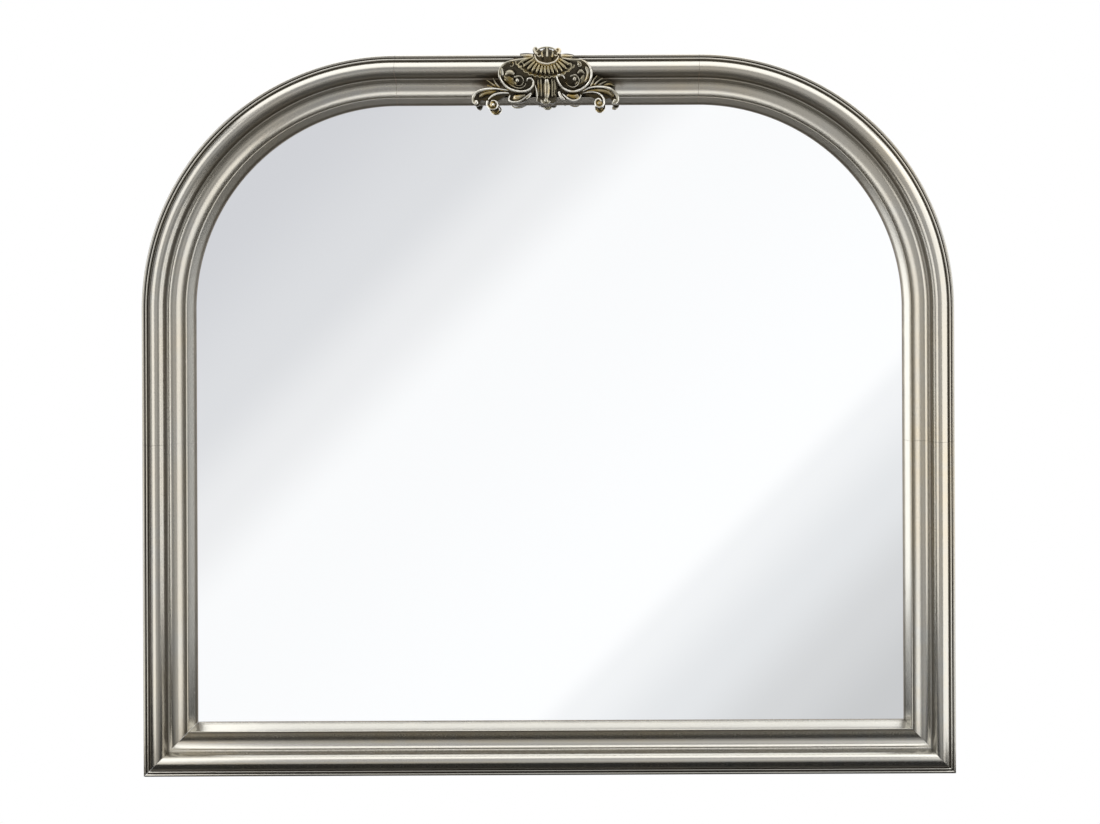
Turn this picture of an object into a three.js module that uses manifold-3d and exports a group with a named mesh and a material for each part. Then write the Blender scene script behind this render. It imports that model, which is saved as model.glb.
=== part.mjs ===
// Overmantel mirror: a silver-leafed moulding with two rounded top corners, a cast crest of shell and
// scrolls on its top rail, a plain mirror plate in a rebate, a back board held by turn buttons, and a
// pair of ring hangers behind the shoulders.
// Millimetres, +Z up, and the front faces -Y. The origin is the middle of the bottom rail's flat underside.
// The moulding's section is given by two measures: "inset", from the outer edge inwards across the face,
// and "rise", from the back of the frame towards the front. Rise is -Y inside the bench group.

import * as THREE from 'three';
import { mergeVertices } from 'three/addons/utils/BufferGeometryUtils.js';
import Module from 'manifold-3d';

const wasm = await Module();
wasm.setup();

// ---------- driving sizes ----------

// the frame's outline
const frameWidth = 1200;
const frameHeight = 1064; // to the top rail's outer edge, below the crest's tip
const shoulderRadius = 375; // outer edge of a rounded top corner
const stileHeight = 490; // where a stile meets the shoulder above it
const arcSteps = 18; // facets in a quarter turn

// clearances
const glueLine = 0.3; // between the ends of two frame sections
const seatGap = 0.3; // between a piece and what it rests on
const pilotGap = 0.3; // round a screw's shank, on the radius

// the moulding's section
const mouldingWidth = 70;
const sideRise = 41; // flat outer side
const beadWidth = 3.7; // rounded outer edge
const beadRise = 42.5;
const beadRounding = 0.8; // from its top down to its inner edge
const grooveWidth = 1.4; // two fine grooves, one each side of the fillet
const grooveDepth = 3.5;
const filletWidth = 2.8;
const torusWidth = 24; // the large round
const torusRise = 50;
const stepWidth = 1.8; // narrow flat below the large round
const stepRise = 31.5;
const coveDepth = 8;
const arrisWidth = 1.6; // thin ridge beside the lip
const arrisRise = 29;
const lipWidth = 5.6; // slope down to the glass
const sightRise = 11;
const rebateWidth = 12;
const roundFacets = 4; // per half of the large round
const coveFacets = 5;

// the mirror plate and its backing
const glassThickness = 4;
const boardThickness = 3;
const boardSink = 0.1; // the board's back lies this far below the frame's, besides its gap
const plateMargin = 2; // round the plate and the board, in the rebate
const blockLength = 60;

// loose tongues across the section joints
const tongueLength = 44; // across the section
const tongueWidth = 24; // half in each section
const tongueThickness = 4;
const tongueInset = 30; // centre of a tongue
const tongueRise = 15;

// turn buttons and their screws
const buttonLength = 34;
const buttonWidth = 12;
const buttonThickness = 2;
const buttonSteps = 4; // facets in each round end
const buttonInset = 46; // its screw, from the outer edge
const buttonSpacing = 300; // between the two on the top rail
const lowButtonSpacing = 560; // between the two on the bottom rail
const stileButtonHeight = 250;
const shoulderButtonRise = 70; // above the joint with the stile

// wood screws, for the buttons and the hangers
const screwRadius = 1.75;
const screwLength = 14; // below the head
const screwHeadRadius = 4;
const screwHeadThickness = 2;
const screwSides = 8;
const slotWidth = 1;
const slotDepth = 0.9;

// ring hangers
const hangerRise = 160; // the ring's bar, above the joint of stile and shoulder
const hangerInset = 24;
const strapWidth = 14;
const strapLength = 54; // below the bar
const strapThickness = 1.5;
const strapScrewDrop = 15; // first screw, below the bar
const strapScrewPitch = 24;
const wireRadius = 1.6;
const wireGap = 0.3; // inside the rolled eye
const ringWidth = 30; // outside
const ringHeight = 27; // from the bar's centre to the outside of the bow
const ringCorner = 5; // bend beside the bar, on the wire's centre line
const ringSteps = 28;
const wireSides = 6;
const eyeFacets = 14;
const eyeTurn = 310; // degrees the strap is rolled round the bar

// rubber bumpers
const bumperRadius = 9;
const bumperThickness = 8;
const bumperInset = 29;
const lowBumperHeight = 90;
const bumperSides = 12;

// the crest, cast in five pieces
const crestReach = 112; // half its spread along the rail
const crestSpare = 20; // how far the cutting solids pass the castings
const crestTop = -40; // insets the cover line runs between
const crestFoot = 110;
const overhangBack = 22; // rise of its back where it hangs past the glass side
const tipBack = 30; // rise of its back where it stands above the top rail
const castGap = 0.3; // between two castings
const rimRadius = 2.5; // raised rims
const rimSides = 6;
const shellRibs = 13;
const shellDrop = 38.6; // from the hinge of the fan to its lower edge
const shellFlare = 10; // extra length of the outermost ribs
const shellRoot = 13; // where the ribs start, from the hinge
const shellBulge = 8;
const shellHinge = -4; // inset of the fan's hinge
const shellLeft = -70; // degrees from straight down to the outermost ribs
const shellRight = 62;
const ribRelief = 1.6;
const scrollBallRadius = 4.6;
const curlRadius = 8.3;
const dropRadius = 6.4;
const crestScrewSpacing = 36;
const crestScrewInset = 21;
const crestScrewBite = 7; // into the casting, past the large round

// ---------- finishes ----------

const leaf = { color: 0x9a958a, metalness: 0.85, roughness: 0.34 };
const antiqueLeaf = { color: 0x7d7565, metalness: 0.8, roughness: 0.4 };
const mirror = { color: 0xe6eaec, metalness: 1, roughness: 0.03 };
const fibreboard = { color: 0x8a6a48, metalness: 0, roughness: 0.85 };
const beech = { color: 0xc9a878, metalness: 0, roughness: 0.7 };
const cork = { color: 0xb28a5c, metalness: 0, roughness: 0.9 };
const zinc = { color: 0xb9bbb8, metalness: 0.9, roughness: 0.38 };
const brassPlate = { color: 0xb08d4a, metalness: 0.9, roughness: 0.35 };
const rubber = { color: 0x262524, metalness: 0, roughness: 0.8 };

// ---------- worked-out sizes ----------

const sideX = frameWidth / 2;
const hangerHeight = stileHeight + hangerRise;
const railEnd = sideX - shoulderRadius; // where the top rail's straight run ends
const shoulderFoot = frameHeight - shoulderRadius; // where a shoulder's curve ends
const benchY = sideRise / 2; // puts the origin at the middle of the underside
const rebateDepth = glassThickness + boardThickness + 3 * seatGap + boardSink;
const rebateInset = mouldingWidth - rebateWidth;
const plateInset = rebateInset + plateMargin;
const glassBack = rebateDepth - seatGap - glassThickness;
const boardBack = glassBack - seatGap - boardThickness;
const shankTop = seatGap; // a screw's head stands this far off what it holds

// ---------- solids ----------

function toSolid(geometry) {
  const bare = geometry.clone();
  bare.deleteAttribute('normal');
  bare.deleteAttribute('uv');
  const welded = mergeVertices(bare, 1e-4);
  const corners = [];
  for (let i = 0; i < welded.index.count; i += 3) {
    const [a, b, c] = [0, 1, 2].map((step) => welded.index.getX(i + step));
    if (a !== b && b !== c && c !== a) {
      corners.push(a, b, c);
    }
  }
  return new wasm.Manifold(new wasm.Mesh({
    numProp: 3,
    vertProperties: Float32Array.from(welded.attributes.position.array),
    triVerts: Uint32Array.from(corners),
  }));
}

function toGeometry(solid) {
  const mesh = solid.getMesh();
  const geometry = new THREE.BufferGeometry();
  geometry.setAttribute('position', new THREE.BufferAttribute(Float32Array.from(mesh.vertProperties), 3));
  geometry.setIndex(new THREE.BufferAttribute(Uint32Array.from(mesh.triVerts), 1));
  geometry.computeVertexNormals();
  return geometry;
}

function join(solids) {
  return solids.reduce((whole, solid) => whole.add(solid));
}

function cut(solid, cutters) {
  return cutters.reduce((left, cutter) => left.subtract(cutter), solid);
}

function box(low, high) {
  const size = new THREE.Vector3().subVectors(high, low);
  const geometry = new THREE.BoxGeometry(size.x, size.y, size.z);
  return geometry.translate((low.x + high.x) / 2, (low.y + high.y) / 2, (low.z + high.z) / 2);
}

// An outline drawn on the front, as (x, z) points, made solid between two rises.
function slab(shape, lowRise, highRise) {
  const settings = { depth: highRise - lowRise, bevelEnabled: false, curveSegments: arcSteps / 2 };
  return new THREE.ExtrudeGeometry(shape, settings).rotateX(Math.PI / 2).translate(0, -lowRise, 0);
}

function polygon(radius, sides) {
  const corners = [];
  for (let i = 0; i < sides; i++) {
    const turn = (2 * Math.PI * i) / sides;
    corners.push(new THREE.Vector2(radius * Math.cos(turn), radius * Math.sin(turn)));
  }
  return new THREE.Shape(corners);
}

function toPoints(pairs) {
  return pairs.map(([a, b]) => new THREE.Vector2(a, b));
}

// Moves every edge of a closed outline outwards by a distance, on points given anticlockwise.
function grown(points, distance) {
  return points.map((point, i) => {
    const before = points[(i + points.length - 1) % points.length];
    const after = points[(i + 1) % points.length];
    const inNormal = new THREE.Vector2(point.y - before.y, before.x - point.x).normalize();
    const outNormal = new THREE.Vector2(after.y - point.y, point.x - after.x).normalize();
    const middle = inNormal.clone().add(outNormal).normalize();
    const stretch = Math.max(0.5, middle.dot(inNormal));
    return point.clone().addScaledVector(middle, distance / stretch);
  });
}

// ---------- the moulding ----------

const filletStart = beadWidth + grooveWidth;
const filletEnd = filletStart + filletWidth;
const torusStart = filletEnd + grooveWidth;
const torusEnd = torusStart + torusWidth;
const torusMiddle = (torusStart + torusEnd) / 2;
const stepEnd = torusEnd + stepWidth;
const arrisEnd = mouldingWidth - lipWidth;
const coveEnd = arrisEnd - arrisWidth;
const grooveRise = beadRise - grooveDepth;

const beadTop = [[beadWidth * 0.3, beadRise], [beadWidth * 0.75, beadRise]];
const beadShoulder = beadRise - beadRounding;

function beadAndFillet() {
  const points = [[0, sideRise], ...beadTop, [beadWidth, beadShoulder]];
  points.push([beadWidth, grooveRise], [filletStart, grooveRise]);
  points.push([filletStart, beadShoulder], [(filletStart + filletEnd) / 2, beadRise]);
  points.push([filletEnd, beadShoulder], [filletEnd, grooveRise]);
  return points;
}

// The large round: a quarter oval up from the groove, and a taller one down to the step.
function torusPoints() {
  const points = [];
  for (let i = 0; i <= 2 * roundFacets; i++) {
    const turn = (Math.PI * i) / (2 * roundFacets);
    const foot = i < roundFacets ? grooveRise : stepRise;
    const inset = torusMiddle - (torusWidth / 2) * Math.cos(turn);
    points.push([inset, foot + (torusRise - foot) * Math.sin(turn)]);
  }
  return points;
}

function covePoints() {
  const points = [];
  for (let i = 1; i < coveFacets; i++) {
    const share = i / coveFacets;
    const inset = stepEnd + (coveEnd - stepEnd) * (1 - Math.cos(Math.PI * share)) / 2;
    const chord = THREE.MathUtils.lerp(stepRise, arrisRise, share);
    points.push([inset, chord - coveDepth * Math.sin(Math.PI * share)]);
  }
  return points;
}

const faceInside = [[stepEnd, stepRise], ...covePoints(), [coveEnd, arrisRise], [arrisEnd, arrisRise]];
faceInside.push([mouldingWidth, sightRise]);

const sectionPoints = [[0, 0], ...beadAndFillet(), ...torusPoints(), ...faceInside];
sectionPoints.push([mouldingWidth, rebateDepth], [rebateInset, rebateDepth], [rebateInset, 0]);
const section = new THREE.Shape(toPoints(sectionPoints));

// A station is a place on the outer edge, with the way inwards across the face.
function station(x, z, inX, inZ) {
  return { x, z, inX, inZ };
}

function onFace(place, inset, rise) {
  return new THREE.Vector3(place.x + place.inX * inset, -rise, place.z + place.inZ * inset);
}

// Carries an outline given by inset and rise through the stations, which run anticlockwise on the front.
function sweep(outline, stations) {
  const steps = stations.length - 1;
  const geometry = new THREE.ExtrudeGeometry(outline, { depth: steps, steps, bevelEnabled: false });
  const spots = geometry.attributes.position;
  for (let i = 0; i < spots.count; i++) {
    const place = stations[Math.round(spots.getZ(i))];
    const spot = onFace(place, spots.getX(i), spots.getY(i));
    spots.setXYZ(i, spot.x, spot.y, spot.z);
  }
  return geometry;
}

function arcStation(side, turn) {
  const outX = side * Math.cos(turn);
  const outZ = Math.sin(turn);
  const x = side * railEnd + outX * shoulderRadius;
  return station(x, shoulderFoot + outZ * shoulderRadius, -outX, -outZ);
}

// side is -1 on the left and 1 on the right, seen from the front
function shoulderStations(side) {
  const stations = [];
  for (let i = 0; i <= arcSteps; i++) {
    stations.push(arcStation(side, (Math.PI / 2) * (1 - i / arcSteps)));
  }
  stations.push(station(side * sideX, stileHeight, -side, 0));
  return side < 0 ? stations : stations.reverse();
}

function stileStations(side) {
  const top = station(side * sideX, stileHeight - glueLine, -side, 0);
  const mitre = station(side * sideX, 0, -side, 1);
  return side < 0 ? [top, mitre] : [mitre, top];
}

const mitreGap = glueLine * Math.SQRT2;
const topEnd = railEnd - glueLine;
const topStations = [station(topEnd, frameHeight, 0, -1), station(-topEnd, frameHeight, 0, -1)];
const bottomStations = [station(mitreGap - sideX, 0, 1, 1), station(sideX - mitreGap, 0, -1, 1)];

// ---------- loose tongues ----------

// A tongue lies flat in the frame, across a joint at (x, z). Its long side follows the joint.
function tongueGeometry(extra) {
  const across = tongueLength / 2 + extra;
  const along = tongueWidth / 2 + extra;
  const chamfer = tongueWidth / 4;
  const outline = [[-across, 0], [-across + chamfer, -along], [across - chamfer, -along]];
  outline.push([across, 0], [across - chamfer, along], [-across + chamfer, along]);
  const shape = new THREE.Shape(toPoints(outline));
  const half = tongueThickness / 2 + extra;
  return slab(shape, tongueRise - half, tongueRise + half);
}

function tonguePlaces() {
  const places = [];
  for (const [side, name] of [[-1, 'left'], [1, 'right']]) {
    const x = side * (sideX - tongueInset);
    const topZ = frameHeight - tongueInset;
    places.push({ name: `top_${name}_tongue`, x: side * railEnd, z: topZ, turn: Math.PI / 2 });
    places.push({ name: `side_${name}_tongue`, x, z: stileHeight, turn: 0 });
    places.push({ name: `bottom_${name}_tongue`, x, z: tongueInset, turn: (side * Math.PI) / 4 });
  }
  return places;
}

function mortise(place) {
  return toSolid(tongueGeometry(seatGap).rotateY(place.turn).translate(place.x, 0, place.z));
}

// ---------- screws and what they hold ----------

// A pan-head screw along Y: its head towards the wall, its point towards the front.
function screwGeometry(length) {
  const profile = [[0, -length], [screwRadius * 0.5, screwRadius - length]];
  profile.push([screwRadius, 2.5 * screwRadius - length], [screwRadius, 0], [screwHeadRadius, 0]);
  profile.push([screwHeadRadius, screwHeadThickness * 0.4]);
  profile.push([screwHeadRadius * 0.7, screwHeadThickness], [0, screwHeadThickness]);
  const turned = new THREE.LatheGeometry(toPoints(profile), screwSides);
  const low = new THREE.Vector3(-screwHeadRadius * 0.8, screwHeadThickness - slotDepth, -slotWidth / 2);
  const high = new THREE.Vector3(screwHeadRadius * 0.8, screwHeadThickness + 1, slotWidth / 2);
  return toGeometry(toSolid(turned).subtract(toSolid(box(low, high))));
}

// A round hole along Y from one rise to another, through a spot on the front.
function hole(spot, radius, lowRise, highRise) {
  const drill = new THREE.CylinderGeometry(radius, radius, highRise - lowRise, screwSides);
  return toSolid(drill.translate(spot.x, -(lowRise + highRise) / 2, spot.z));
}

function buttonPlaces() {
  const places = [];
  for (const [side, name] of [[-1, 'left'], [1, 'right']]) {
    const top = station((side * buttonSpacing) / 2, frameHeight, 0, -1);
    const bottom = station((side * lowButtonSpacing) / 2, 0, 0, 1);
    const stile = station(side * sideX, stileButtonHeight, -side, 0);
    const shoulder = station(side * sideX, stileHeight + shoulderButtonRise, -side, 0);
    places.push({ name: `top_${name}`, at: top, on: 'top_rail' });
    places.push({ name: `bottom_${name}`, at: bottom, on: 'bottom_rail' });
    places.push({ name: `stile_${name}`, at: stile, on: `${name}_stile` });
    places.push({ name: `shoulder_${name}`, at: shoulder, on: `${name}_shoulder` });
  }
  return places;
}

// A flat bar with round ends that turns on its screw. It points along +X from the screw.
function buttonGeometry() {
  const radius = buttonWidth / 2;
  const reach = buttonLength - buttonWidth;
  const shape = new THREE.Shape();
  shape.absarc(0, 0, radius, Math.PI / 2, (3 * Math.PI) / 2);
  shape.absarc(reach, 0, radius, -Math.PI / 2, Math.PI / 2);
  shape.holes.push(new THREE.Path().absarc(0, 0, screwRadius + pilotGap, 0, 2 * Math.PI, true));
  const settings = { depth: buttonThickness, bevelEnabled: false, curveSegments: buttonSteps };
  return new THREE.ExtrudeGeometry(shape, settings).rotateX(Math.PI / 2).translate(0, buttonThickness, 0);
}

// ---------- ring hangers ----------

const eyeRadius = wireRadius + wireGap;
const eyeOuter = eyeRadius + strapThickness;
const barBack = seatGap + eyeOuter; // the bar's centre, behind the frame

// A strip whose top end is rolled round the ring's bar, seen from the side as (distance behind, height).
function strapGeometry() {
  const strapFront = seatGap;
  const strapBack = seatGap + strapThickness;
  const outline = [new THREE.Vector2(strapBack, -strapLength), new THREE.Vector2(strapFront, -strapLength)];
  const rollEnd = THREE.MathUtils.degToRad(eyeTurn);
  for (let i = 0; i <= eyeFacets; i++) {
    const turn = (rollEnd * i) / eyeFacets;
    outline.push(new THREE.Vector2(barBack - eyeOuter * Math.cos(turn), eyeOuter * Math.sin(turn)));
  }
  for (let i = eyeFacets; i >= 0; i--) {
    const turn = (rollEnd * i) / eyeFacets;
    outline.push(new THREE.Vector2(barBack - eyeRadius * Math.cos(turn), eyeRadius * Math.sin(turn)));
  }
  const settings = { depth: strapWidth, bevelEnabled: false };
  const rolled = new THREE.ExtrudeGeometry(new THREE.Shape(outline), settings);
  // from (behind, height, along) to (x, y, z): behind is +Y, height is +Z and along is +X
  rolled.translate(0, 0, -strapWidth / 2).rotateX(Math.PI / 2).rotateZ(Math.PI / 2);
  const spots = strapScrewDrops().map((drop) => new THREE.Vector3(0, 0, -drop));
  const drills = spots.map((spot) => hole(spot, screwRadius + pilotGap, -eyeOuter, 0));
  return toGeometry(cut(toSolid(rolled), drills));
}

function strapScrewDrops() {
  return [strapScrewDrop, strapScrewDrop + strapScrewPitch];
}

// The ring's centre line on its own plane, from the bar's middle round the bow and back.
function ringPath() {
  const half = ringWidth / 2 - wireRadius;
  const top = ringHeight - wireRadius;
  const path = new THREE.Path();
  path.moveTo(0, 0);
  path.lineTo(half - ringCorner, 0);
  path.absarc(half - ringCorner, ringCorner, ringCorner, -Math.PI / 2, 0);
  path.lineTo(half, top - half);
  path.absarc(0, top - half, half, 0, Math.PI);
  path.lineTo(-half, ringCorner);
  path.absarc(-half + ringCorner, ringCorner, ringCorner, Math.PI, 1.5 * Math.PI);
  path.lineTo(0, 0);
  return path;
}

// A closed wire: the torus gives the rings of points, and each ring goes to its place on the path.
function ringGeometry() {
  const path = ringPath();
  const geometry = new THREE.TorusGeometry(ringWidth, wireRadius, wireSides, ringSteps);
  const spots = geometry.attributes.position;
  for (let i = 0; i < spots.count; i++) {
    const turn = Math.atan2(spots.getY(i), spots.getX(i));
    const share = ((Math.round((turn / (2 * Math.PI)) * ringSteps) + ringSteps) % ringSteps) / ringSteps;
    const centre = path.getPointAt(share);
    const ahead = path.getTangentAt(share);
    const outwards = Math.hypot(spots.getX(i), spots.getY(i)) - ringWidth;
    spots.setXYZ(i, centre.x + ahead.y * outwards, centre.y - ahead.x * outwards, spots.getZ(i));
  }
  return geometry.rotateX(Math.PI / 2);
}

// At rest the ring stands up from its bar and its bow leans on the frame's back.
const ringLean = Math.asin((barBack - seatGap - wireRadius) / (ringHeight - wireRadius));

// ---------- bumpers ----------

function bumperGeometry() {
  const rim = bumperRadius * 0.85;
  const profile = [[0, seatGap], [bumperRadius, seatGap], [bumperRadius, bumperThickness * 0.4]];
  profile.push([rim, bumperThickness], [0, bumperThickness]);
  return new THREE.LatheGeometry(toPoints(profile), bumperSides);
}

function bumperPlaces() {
  const places = [];
  for (const [side, name] of [[-1, 'left'], [1, 'right']]) {
    places.push({ name: `lower_${name}_bumper`, at: station(side * sideX, lowBumperHeight, -side, 0) });
    places.push({ name: `upper_${name}_bumper`, at: arcStation(side, Math.PI / 4) });
  }
  return places;
}

// ---------- the crest ----------

// The crest is drawn as (x, inset) points round the middle of the top rail. Its castings lie between the
// moulding's face and a cover line, which gives how far they rise at each inset.
const coverLine = [[crestTop, 46], [-12, 48], [0, 52], [12, 56], [22, 57.5], [33, 54], [44, 46], [56, 41]];
coverLine.push([68, 38.5], [82, 36], [crestFoot, 34]);

function coverRise(inset) {
  const next = coverLine.findIndex(([place]) => place > inset);
  const [lowInset, lowRise] = coverLine[next - 1];
  const [highInset, highRise] = coverLine[next];
  return THREE.MathUtils.lerp(lowRise, highRise, (inset - lowInset) / (highInset - lowInset));
}

function crestSpot(x, inset, rise) {
  return new THREE.Vector3(x, -rise, frameHeight - inset);
}

// An outline by inset and rise, run along the top rail over the whole crest.
function crestRun(points) {
  const outline = new THREE.Shape(points);
  const reach = crestReach + crestSpare;
  return toSolid(sweep(outline, [reach, -reach].map((x) => station(x, frameHeight, 0, -1))));
}

// What the castings lie on: the rail's face without its fine grooves, and the backs of what overhangs it.
function crestBed() {
  const lipShare = (arrisRise - overhangBack) / (arrisRise - sightRise);
  const lipEnd = [arrisEnd + lipWidth * lipShare, overhangBack];
  const round = torusPoints().filter(([inset, rise]) => inset > torusMiddle || rise > beadRise);
  const top = crestTop - crestSpare;
  const foot = crestFoot + crestSpare;
  const face = [[top, -crestSpare], [top, tipBack], [0, tipBack], [0, sideRise], beadTop[0]];
  face.push([torusStart, beadRise], ...round, [stepEnd, stepRise], ...covePoints(), [coveEnd, arrisRise]);
  face.push([arrisEnd, arrisRise], lipEnd, [foot, overhangBack], [foot, -crestSpare]);
  return crestRun(grown(toPoints(face.reverse()), castGap));
}

function crestCover() {
  return crestRun(toPoints([[crestTop, -crestSpare], ...coverLine, [crestFoot, -crestSpare]]));
}

// A closed smooth outline through (x, inset) points, grown by an extra where room is cut for it.
function crestSlab(points, extra = 0) {
  const spots = points.map(([x, inset]) => new THREE.Vector3(x, frameHeight - inset, 0));
  const curve = new THREE.CatmullRomCurve3(spots, true, 'centripetal');
  const outline = toPoints(curve.getPoints(points.length * 2).slice(0, -1).map((spot) => [spot.x, spot.y]));
  if (THREE.ShapeUtils.isClockWise(outline)) {
    outline.reverse();
  }
  return toSolid(slab(new THREE.Shape(grown(outline, extra)), 0, 2 * torusRise));
}

// A raised rim: a round bar half sunk in the cover line, which thins towards both ends.
function rim(points, radius, lift = 0) {
  const spots = points.map(([x, inset]) => crestSpot(x, inset, coverRise(inset) + lift));
  const curve = new THREE.CatmullRomCurve3(spots, false, 'centripetal');
  const steps = Math.round(1.5 * points.length);
  const settings = { depth: steps, steps, bevelEnabled: false };
  const geometry = new THREE.ExtrudeGeometry(polygon(1, rimSides), settings);
  const front = new THREE.Vector3(0, -1, 0);
  const vertices = geometry.attributes.position;
  for (let i = 0; i < vertices.count; i++) {
    const share = Math.round(vertices.getZ(i)) / steps;
    const along = curve.getTangentAt(share);
    const side = new THREE.Vector3().crossVectors(front, along).normalize();
    const up = new THREE.Vector3().crossVectors(along, side);
    const thickness = radius * (0.5 + 0.5 * Math.sqrt(Math.sin(Math.PI * share)));
    const spot = curve.getPointAt(share);
    spot.addScaledVector(side, vertices.getX(i) * thickness);
    spot.addScaledVector(up, vertices.getY(i) * thickness);
    vertices.setXYZ(i, spot.x, spot.y, spot.z);
  }
  return toSolid(geometry);
}

function ball(x, inset, radius, lift = 0) {
  const spot = crestSpot(x, inset, coverRise(inset) + lift);
  return toSolid(new THREE.SphereGeometry(radius, 10, 6).translate(spot.x, spot.y, spot.z));
}

// The fan: a box bent round its hinge. Its top swells and its ribs run out to a scalloped edge.
function fan(extra) {
  const columns = 2 * shellRibs;
  const geometry = new THREE.BoxGeometry(1, 1, 1, columns, 1, 5);
  const vertices = geometry.attributes.position;
  for (let i = 0; i < vertices.count; i++) {
    const column = Math.round((vertices.getX(i) + 0.5) * columns);
    const share = vertices.getZ(i) + 0.5;
    const turn = THREE.MathUtils.degToRad(THREE.MathUtils.lerp(shellLeft, shellRight, column / columns));
    const rib = column % 2;
    const reach = shellDrop + shellFlare * Math.sin(turn) ** 2 + ribRelief * (rib - 1) + extra;
    const radius = THREE.MathUtils.lerp(shellRoot, reach, share);
    const swing = turn + (extra / reach) * Math.sign(column - shellRibs);
    const inset = shellHinge + radius * Math.cos(swing);
    const swell = shellBulge * Math.sin(Math.PI * (0.15 + 0.85 * share)) ** 0.6 + ribRelief * rib;
    const top = extra > 0 ? 2 * torusRise : coverRise(inset) + swell;
    const spot = crestSpot(radius * Math.sin(swing), inset, vertices.getY(i) > 0 ? top : 0);
    vertices.setXYZ(i, spot.x, spot.y, spot.z);
  }
  return toSolid(geometry);
}

const plumeOutline = [
  [0, -12.4], [-8, -7], [-15, -11.5], [-20, -9], [-18.5, -2], [-30, -3], [-42, -1.5], [-31, 4],
  [-19, 7], [-11, 12.5], [0, 15], [10, 13], [18, 7.5], [30, 6.5], [43, 1], [30, -2], [18.5, -1],
  [19, -8], [14, -10], [8, -6.5],
];

const dropOutline = [[-19, 32], [-18.5, 48], [-17.5, 62], [-11, 73], [0, 71], [9, 74], [14, 66], [15.5, 50]];
dropOutline.push([14, 32]);

// The two scrolls are carved freely, so each side has its own lines.
const scrolls = {
  left: {
    fields: [
      [
        [-46, 5], [-61, 11], [-71.5, 23], [-72.5, 37], [-61, 50], [-43, 56.5], [-22, 52], [-10, 36],
        [-12, 14], [-30, 5],
      ],
      [
        [-40, 46], [-64, 48], [-90, 47], [-106, 52.5], [-112, 63], [-109, 74], [-101, 75], [-97, 67],
        [-86, 70], [-76, 69], [-64, 62],
      ],
      [[-58, 50], [-57, 66], [-46, 70], [-35, 69], [-20, 58], [-20, 46]],
      [[-64, 51], [-78, 47], [-91, 36], [-79, 39], [-81, 30], [-69, 33], [-61, 44]],
    ],
    rims: [
      [
        [-48, 8], [-61, 13], [-69.5, 23], [-70.6, 36], [-58.3, 49], [-42, 54.5], [-27, 50], [-21.5, 41.5],
        [-25, 34.5],
      ],
      [[-48, 52], [-68, 50], [-89, 49.5], [-103, 54.5], [-109, 63], [-107, 71]],
      [[-56, 56], [-66, 60], [-74, 64], [-80, 70]],
    ],
    balls: [[-43.5, 37.6, scrollBallRadius], [-81, 73.4, curlRadius], [-105, 70, scrollBallRadius]],
  },
  right: {
    fields: [
      [
        [40, 4], [56, 8], [65, 16], [70, 26], [67, 40], [53, 53], [37, 56.5], [21, 52], [10, 36], [12, 14],
        [26, 6],
      ],
      [
        [36, 48], [56, 50], [78, 44], [96, 50], [108, 61], [108, 72], [100, 73], [93, 64], [82, 67], [72, 66],
        [60, 60],
      ],
      [[20, 46], [24, 62], [32, 66], [42, 69], [51, 62], [54, 48]],
      [[62, 46], [66, 32], [76, 30], [80, 36], [90, 36], [104, 46], [90, 50], [74, 50]],
    ],
    rims: [
      [
        [44, 6.5], [56, 10], [64, 17], [68, 26], [65, 39], [51, 52], [37.5, 54.5], [23.5, 49], [17, 39],
        [21, 33],
      ],
      [[44, 54], [60, 50], [77.5, 46.5], [94, 51], [104.5, 61], [103, 69.5]],
      [[52, 58], [66, 55], [78, 58], [86, 64]],
    ],
    balls: [[42, 37.6, scrollBallRadius], [78, 70, curlRadius], [49.4, 17, scrollBallRadius * 0.7]],
  },
};

function crestCastings() {
  const bed = crestBed();
  const cover = crestCover();
  const scoopLine = [[-18, -7], [-17, 2], [-10, 10], [0, 13], [10, 10.5], [16.5, 3], [17, -5]];
  const scoop = rim(scoopLine, rimRadius, 2);
  const plumeTip = rim([[0, 12], [0, 0], [0, -10]], rimRadius * 1.6, 1);
  const leafLines = [[[-16, 5], [-28, 0], [-38, -1]], [[16, 5], [28, 3], [39, 0]]];
  const sideLeaves = leafLines.map((leafLine) => rim(leafLine, rimRadius));
  const plumeBody = join([crestSlab(plumeOutline).intersect(cover), scoop, plumeTip, ...sideLeaves]);
  const plume = cut(plumeBody.intersect(crestSlab(plumeOutline)), [bed]);
  const plumeRoom = crestSlab(plumeOutline, castGap);

  const bite = torusRise + crestScrewBite + seatGap;
  const screwHoles = crestScrewSpots().map((spot) => hole(spot, screwRadius + pilotGap, 0, bite));
  const shell = cut(fan(0), [bed, plumeRoom, ...screwHoles]);
  const shellRoom = fan(castGap);

  const pleats = [-13, -8, 8, 12].map((x) => rim([[x, 30], [x * 1.1, 50], [x * 0.9, 70]], rimRadius * 0.7));
  const pendant = rim([[0, 36], [0, 44], [0, 54], [0, 64]], dropRadius);
  const foot = ball(-1, 68, dropRadius * 0.7);
  const dropBody = join([crestSlab(dropOutline).intersect(cover), ...pleats, pendant, foot]);
  const drop = cut(dropBody.intersect(crestSlab(dropOutline)), [bed, shellRoom, plumeRoom]);
  const dropRoom = crestSlab(dropOutline, castGap);

  const castings = { crest_plume: plume, crest_shell: shell, crest_drop: drop };
  for (const [side, lines] of Object.entries(scrolls)) {
    const fields = join(lines.fields.map((outline) => crestSlab(outline))).intersect(cover);
    const rims = lines.rims.map((path) => rim(path, rimRadius));
    const balls = lines.balls.map(([x, inset, radius]) => ball(x, inset, radius));
    const scroll = join([fields, ...rims, ...balls]);
    castings[`crest_${side}_scroll`] = cut(scroll, [bed, plumeRoom, shellRoom, dropRoom]);
  }
  return castings;
}

function crestScrewSpots() {
  return [-1, 1].map((side) => crestSpot((side * crestScrewSpacing) / 2, crestScrewInset, 0));
}

// ---------- the plate and the board ----------

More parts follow.
